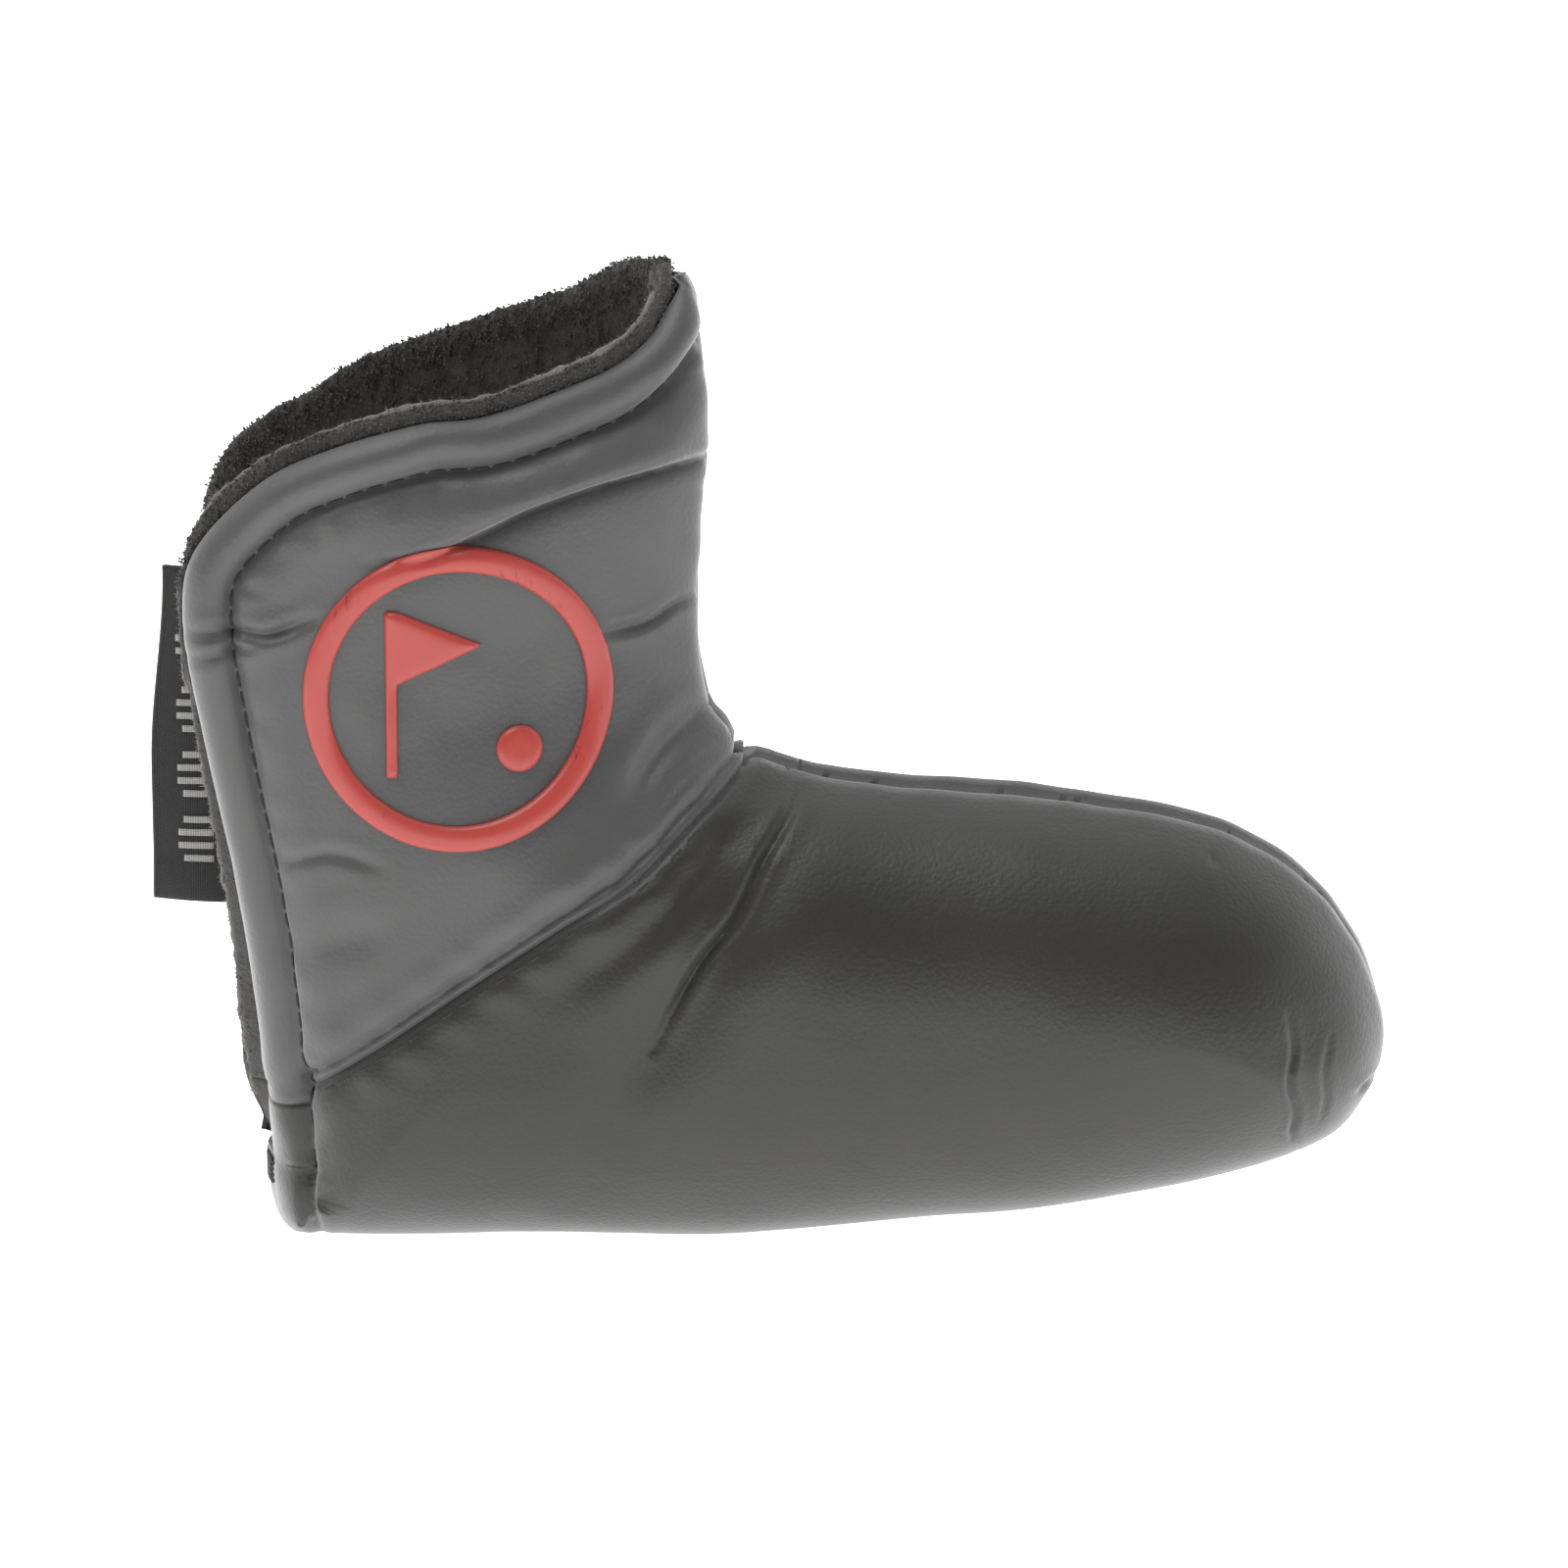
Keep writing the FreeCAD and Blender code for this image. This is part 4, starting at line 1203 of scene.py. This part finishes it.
def label_ends(heights):
    """The label's sewn root under the back lip's edge, and its outer fold."""
    edge = MOUTH[1][:90]
    flat = np.column_stack([np.interp(heights, edge[:, 1], edge[:, 0]) + 1.5, heights])
    root = skin(flat, 1, -2.9)
    tip_x = LABEL_LOW[0] - 1.2 + 2.3 * ease((heights - LABEL_LOW[2] - 20.0) / 28.0)
    tip_y = 0.5 * root[:, 1] + 0.25 * (LABEL_LOW[1] + LABEL_HIGH[1])
    return root, np.column_stack([tip_x, tip_y, heights])


def label_place(share, heights):
    """Places on the label's middle: share 0 is the sewn root and share 1 the outer fold."""
    root, tip = label_ends(heights)
    share = np.broadcast_to(share, heights.shape)
    bow = np.outer(0.8 * np.sin(np.pi * share), [0, -1, 0])
    return root + share[:, None] * (tip - root) + bow


def label_surface(share, heights, offset):
    """Places on the folded tape: the front layer for a negative offset, and the back for a positive."""
    middle = label_place(share, heights)
    wave = 0.18 * np.sin(heights / 5.5) * share
    middle[:, 1] += offset + wave
    return middle


def build_label():
    heights = np.arange(LABEL_LOW[2], LABEL_HIGH[2] + 0.4, 0.8)
    gap = 0.42
    columns = [label_surface(share, heights, -gap) for share in np.linspace(0, 0.97, 16)]
    for turn in np.linspace(-0.4 * np.pi, 0.4 * np.pi, 5):
        fold = label_surface(0.97, heights, gap * math.sin(turn))
        fold[:, 0] -= gap * math.cos(turn)
        columns.append(fold)
    columns += [label_surface(share, heights, gap) for share in np.linspace(0.97, 0, 16)]
    faces = grid_faces(len(columns), len(heights))
    label = make_object("label_tape_loop", np.vstack(columns), faces, TAPE)
    weld(label, 0.001)
    thicken(label, 0.32, 0.0)
    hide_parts("side_label")
    label_bends(label)


def build_label_bars():
    """Plain woven stripes in pairs on the label's front layer, in place of lettering."""
    low, high = box_mm("label_weave")
    parts = []
    rows = 4
    for number, start in enumerate(np.arange(low[2] + 1.0, high[2] - 2.0, 1.9)):
        if number % 5 == 4:
            continue
        heights = np.linspace(start, start + 0.95, rows)
        root, tip = label_ends(heights)
        outer = LABEL_LOW[0] + (2.6 if number % 5 in (1, 2) else 3.4)
        columns = np.linspace(outer, LABEL_LOW[0] + 7.8, 10)
        wide = root[:, 0] - tip[:, 0]
        grid = [label_surface((root[:, 0] - x) / wide, heights, -0.68) for x in columns]
        parts.append((np.vstack(grid), grid_faces(len(columns), rows)))
    bars = make_object("label_bars", *joined(parts), TAPE_THREAD)
    weld(bars, 0.001)
    thicken(bars, 0.18, 0.0)
    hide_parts("label_weave")
    label_bends(bars)


# The magnet's depth under the skin, its thickness, and its top face from the middle out over its bevel,
# as share of its radius and depth.
MAGNET_TOP = 2.0
MAGNET_THICK = 1.5
MAGNET_RINGS = [(0.02, 0.0), (0.5, 0.0), (0.9, 0.0), (0.97, 0.08), (1.0, 0.25)]


def build_magnets():
    """A flat metal disc in each lip's padding, bent slightly with the skin and bevelled at its rim."""
    for side, word in WORD.items():
        centre, radius = disc_of(*box_mm(word + "_closure_magnet"))
        circle = unit_circle(48)
        rings = MAGNET_RINGS + [(share, MAGNET_THICK - depth) for share, depth in MAGNET_RINGS[::-1]]
        places = [skin(centre + share * radius * circle, side, -MAGNET_TOP - depth)
                  for share, depth in rings]
        count = len(circle)
        faces = grid_faces(len(rings), count, round_rows=True)
        faces += [tuple(range(count))[::-1], tuple(range((len(rings) - 1) * count, len(rings) * count))]
        disc = make_object(word + "_magnet_disc", np.vstack(places), faces, METAL)
        weld(disc, 0.001)
        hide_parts(word + "_closure_magnet")
        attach(disc, word + "_lip")


build_leather()
build_foam()
build_lining()
build_threads()
build_bartack()
build_ring()
build_flag_and_ball()
build_label()
build_label_bars()
build_magnets()


# ---------------------------------------------------------------- stage

# How brightly the floor glows, and the brightness of the surroundings: all over, and their share in front.
FLOOR_GLOW = 1.10
AIR_STRENGTH = 1.15
FRONT_AIR = 0.02

# The camera: its height angle in degrees, its distance and aim in metres, and the width it sees there.
CAMERA_RISE = 15
CAMERA_DISTANCE = 0.95
CAMERA_AIM = (0.0224, 0, 0.0665)
VIEW_WIDTH = 0.224
SENSOR_WIDTH = 36


def build_stage():
    """A pale floor that glows a little, as a light table does, and white surroundings, dim in front."""
    n = Nodes("studio_floor")
    n.set(Base_Color=n.ramp(n.noise(3.0), [(0.3, grey(0.88)), (0.7, grey(0.90))]), Roughness=0.8)
    n.set(Emission_Color=(1, 1, 1, 1), Emission_Strength=FLOOR_GLOW)
    mesh = bpy.data.meshes.new("studio_floor")
    mesh.from_pydata([(-9, -9, 0), (9, -9, 0), (9, 9, 0), (-9, 9, 0)], [], [(0, 1, 2, 3)])
    mesh.materials.append(n.material)
    floor = bpy.data.objects.new("studio_floor", mesh)
    bpy.context.collection.objects.link(floor)
    world = bpy.data.worlds.new("studio_air")
    world.use_nodes = True
    tree = world.node_tree
    place = tree.nodes.new("ShaderNodeTexCoord")
    split = tree.nodes.new("ShaderNodeSeparateXYZ")
    ramp = tree.nodes.new("ShaderNodeValToRGB")
    shift = tree.nodes.new("ShaderNodeMath")
    shift.operation = "MULTIPLY_ADD"
    shift.inputs[1].default_value = 0.5
    shift.inputs[2].default_value = 0.5
    tree.links.new(place.outputs["Generated"], split.inputs["Vector"])
    tree.links.new(split.outputs["Y"], shift.inputs[0])
    tree.links.new(shift.outputs["Value"], ramp.inputs["Fac"])
    for element, (spot, shade) in zip(ramp.color_ramp.elements, ((0.18, FRONT_AIR), (0.62, 1.0))):
        element.position = spot
        element.color = (shade, shade, shade, 1)
    tree.links.new(ramp.outputs["Color"], tree.nodes["Background"].inputs["Color"])
    tree.nodes["Background"].inputs["Strength"].default_value = AIR_STRENGTH
    bpy.context.scene.world = world
    bpy.context.scene.view_settings.view_transform = "Standard"


def soft_light(name, towards, strength, spread):
    """A broad, even light from one side, such as a large diffuser gives."""
    data = bpy.data.lights.new(name, "SUN")
    data.energy = strength
    data.angle = math.radians(spread)
    lamp = bpy.data.objects.new(name, data)
    bpy.context.collection.objects.link(lamp)
    lamp.rotation_euler = Vector(towards).to_track_quat("-Z", "Y").to_euler()


def build_camera():
    """A long lens in front of the cover and a little above it."""
    data = bpy.data.cameras.new("camera")
    camera = bpy.data.objects.new("camera", data)
    bpy.context.collection.objects.link(camera)
    elevation = math.radians(CAMERA_RISE)
    back = Vector((0, -math.cos(elevation), math.sin(elevation)))
    camera.location = Vector(CAMERA_AIM) + back * CAMERA_DISTANCE
    camera.rotation_euler = (-back).to_track_quat("-Z", "Y").to_euler()
    data.lens = SENSOR_WIDTH * CAMERA_DISTANCE / VIEW_WIDTH
    bpy.context.scene.camera = camera


build_stage()
soft_light("key", (0.30, 0.30, -1.0), 1.25, 34)
build_camera()
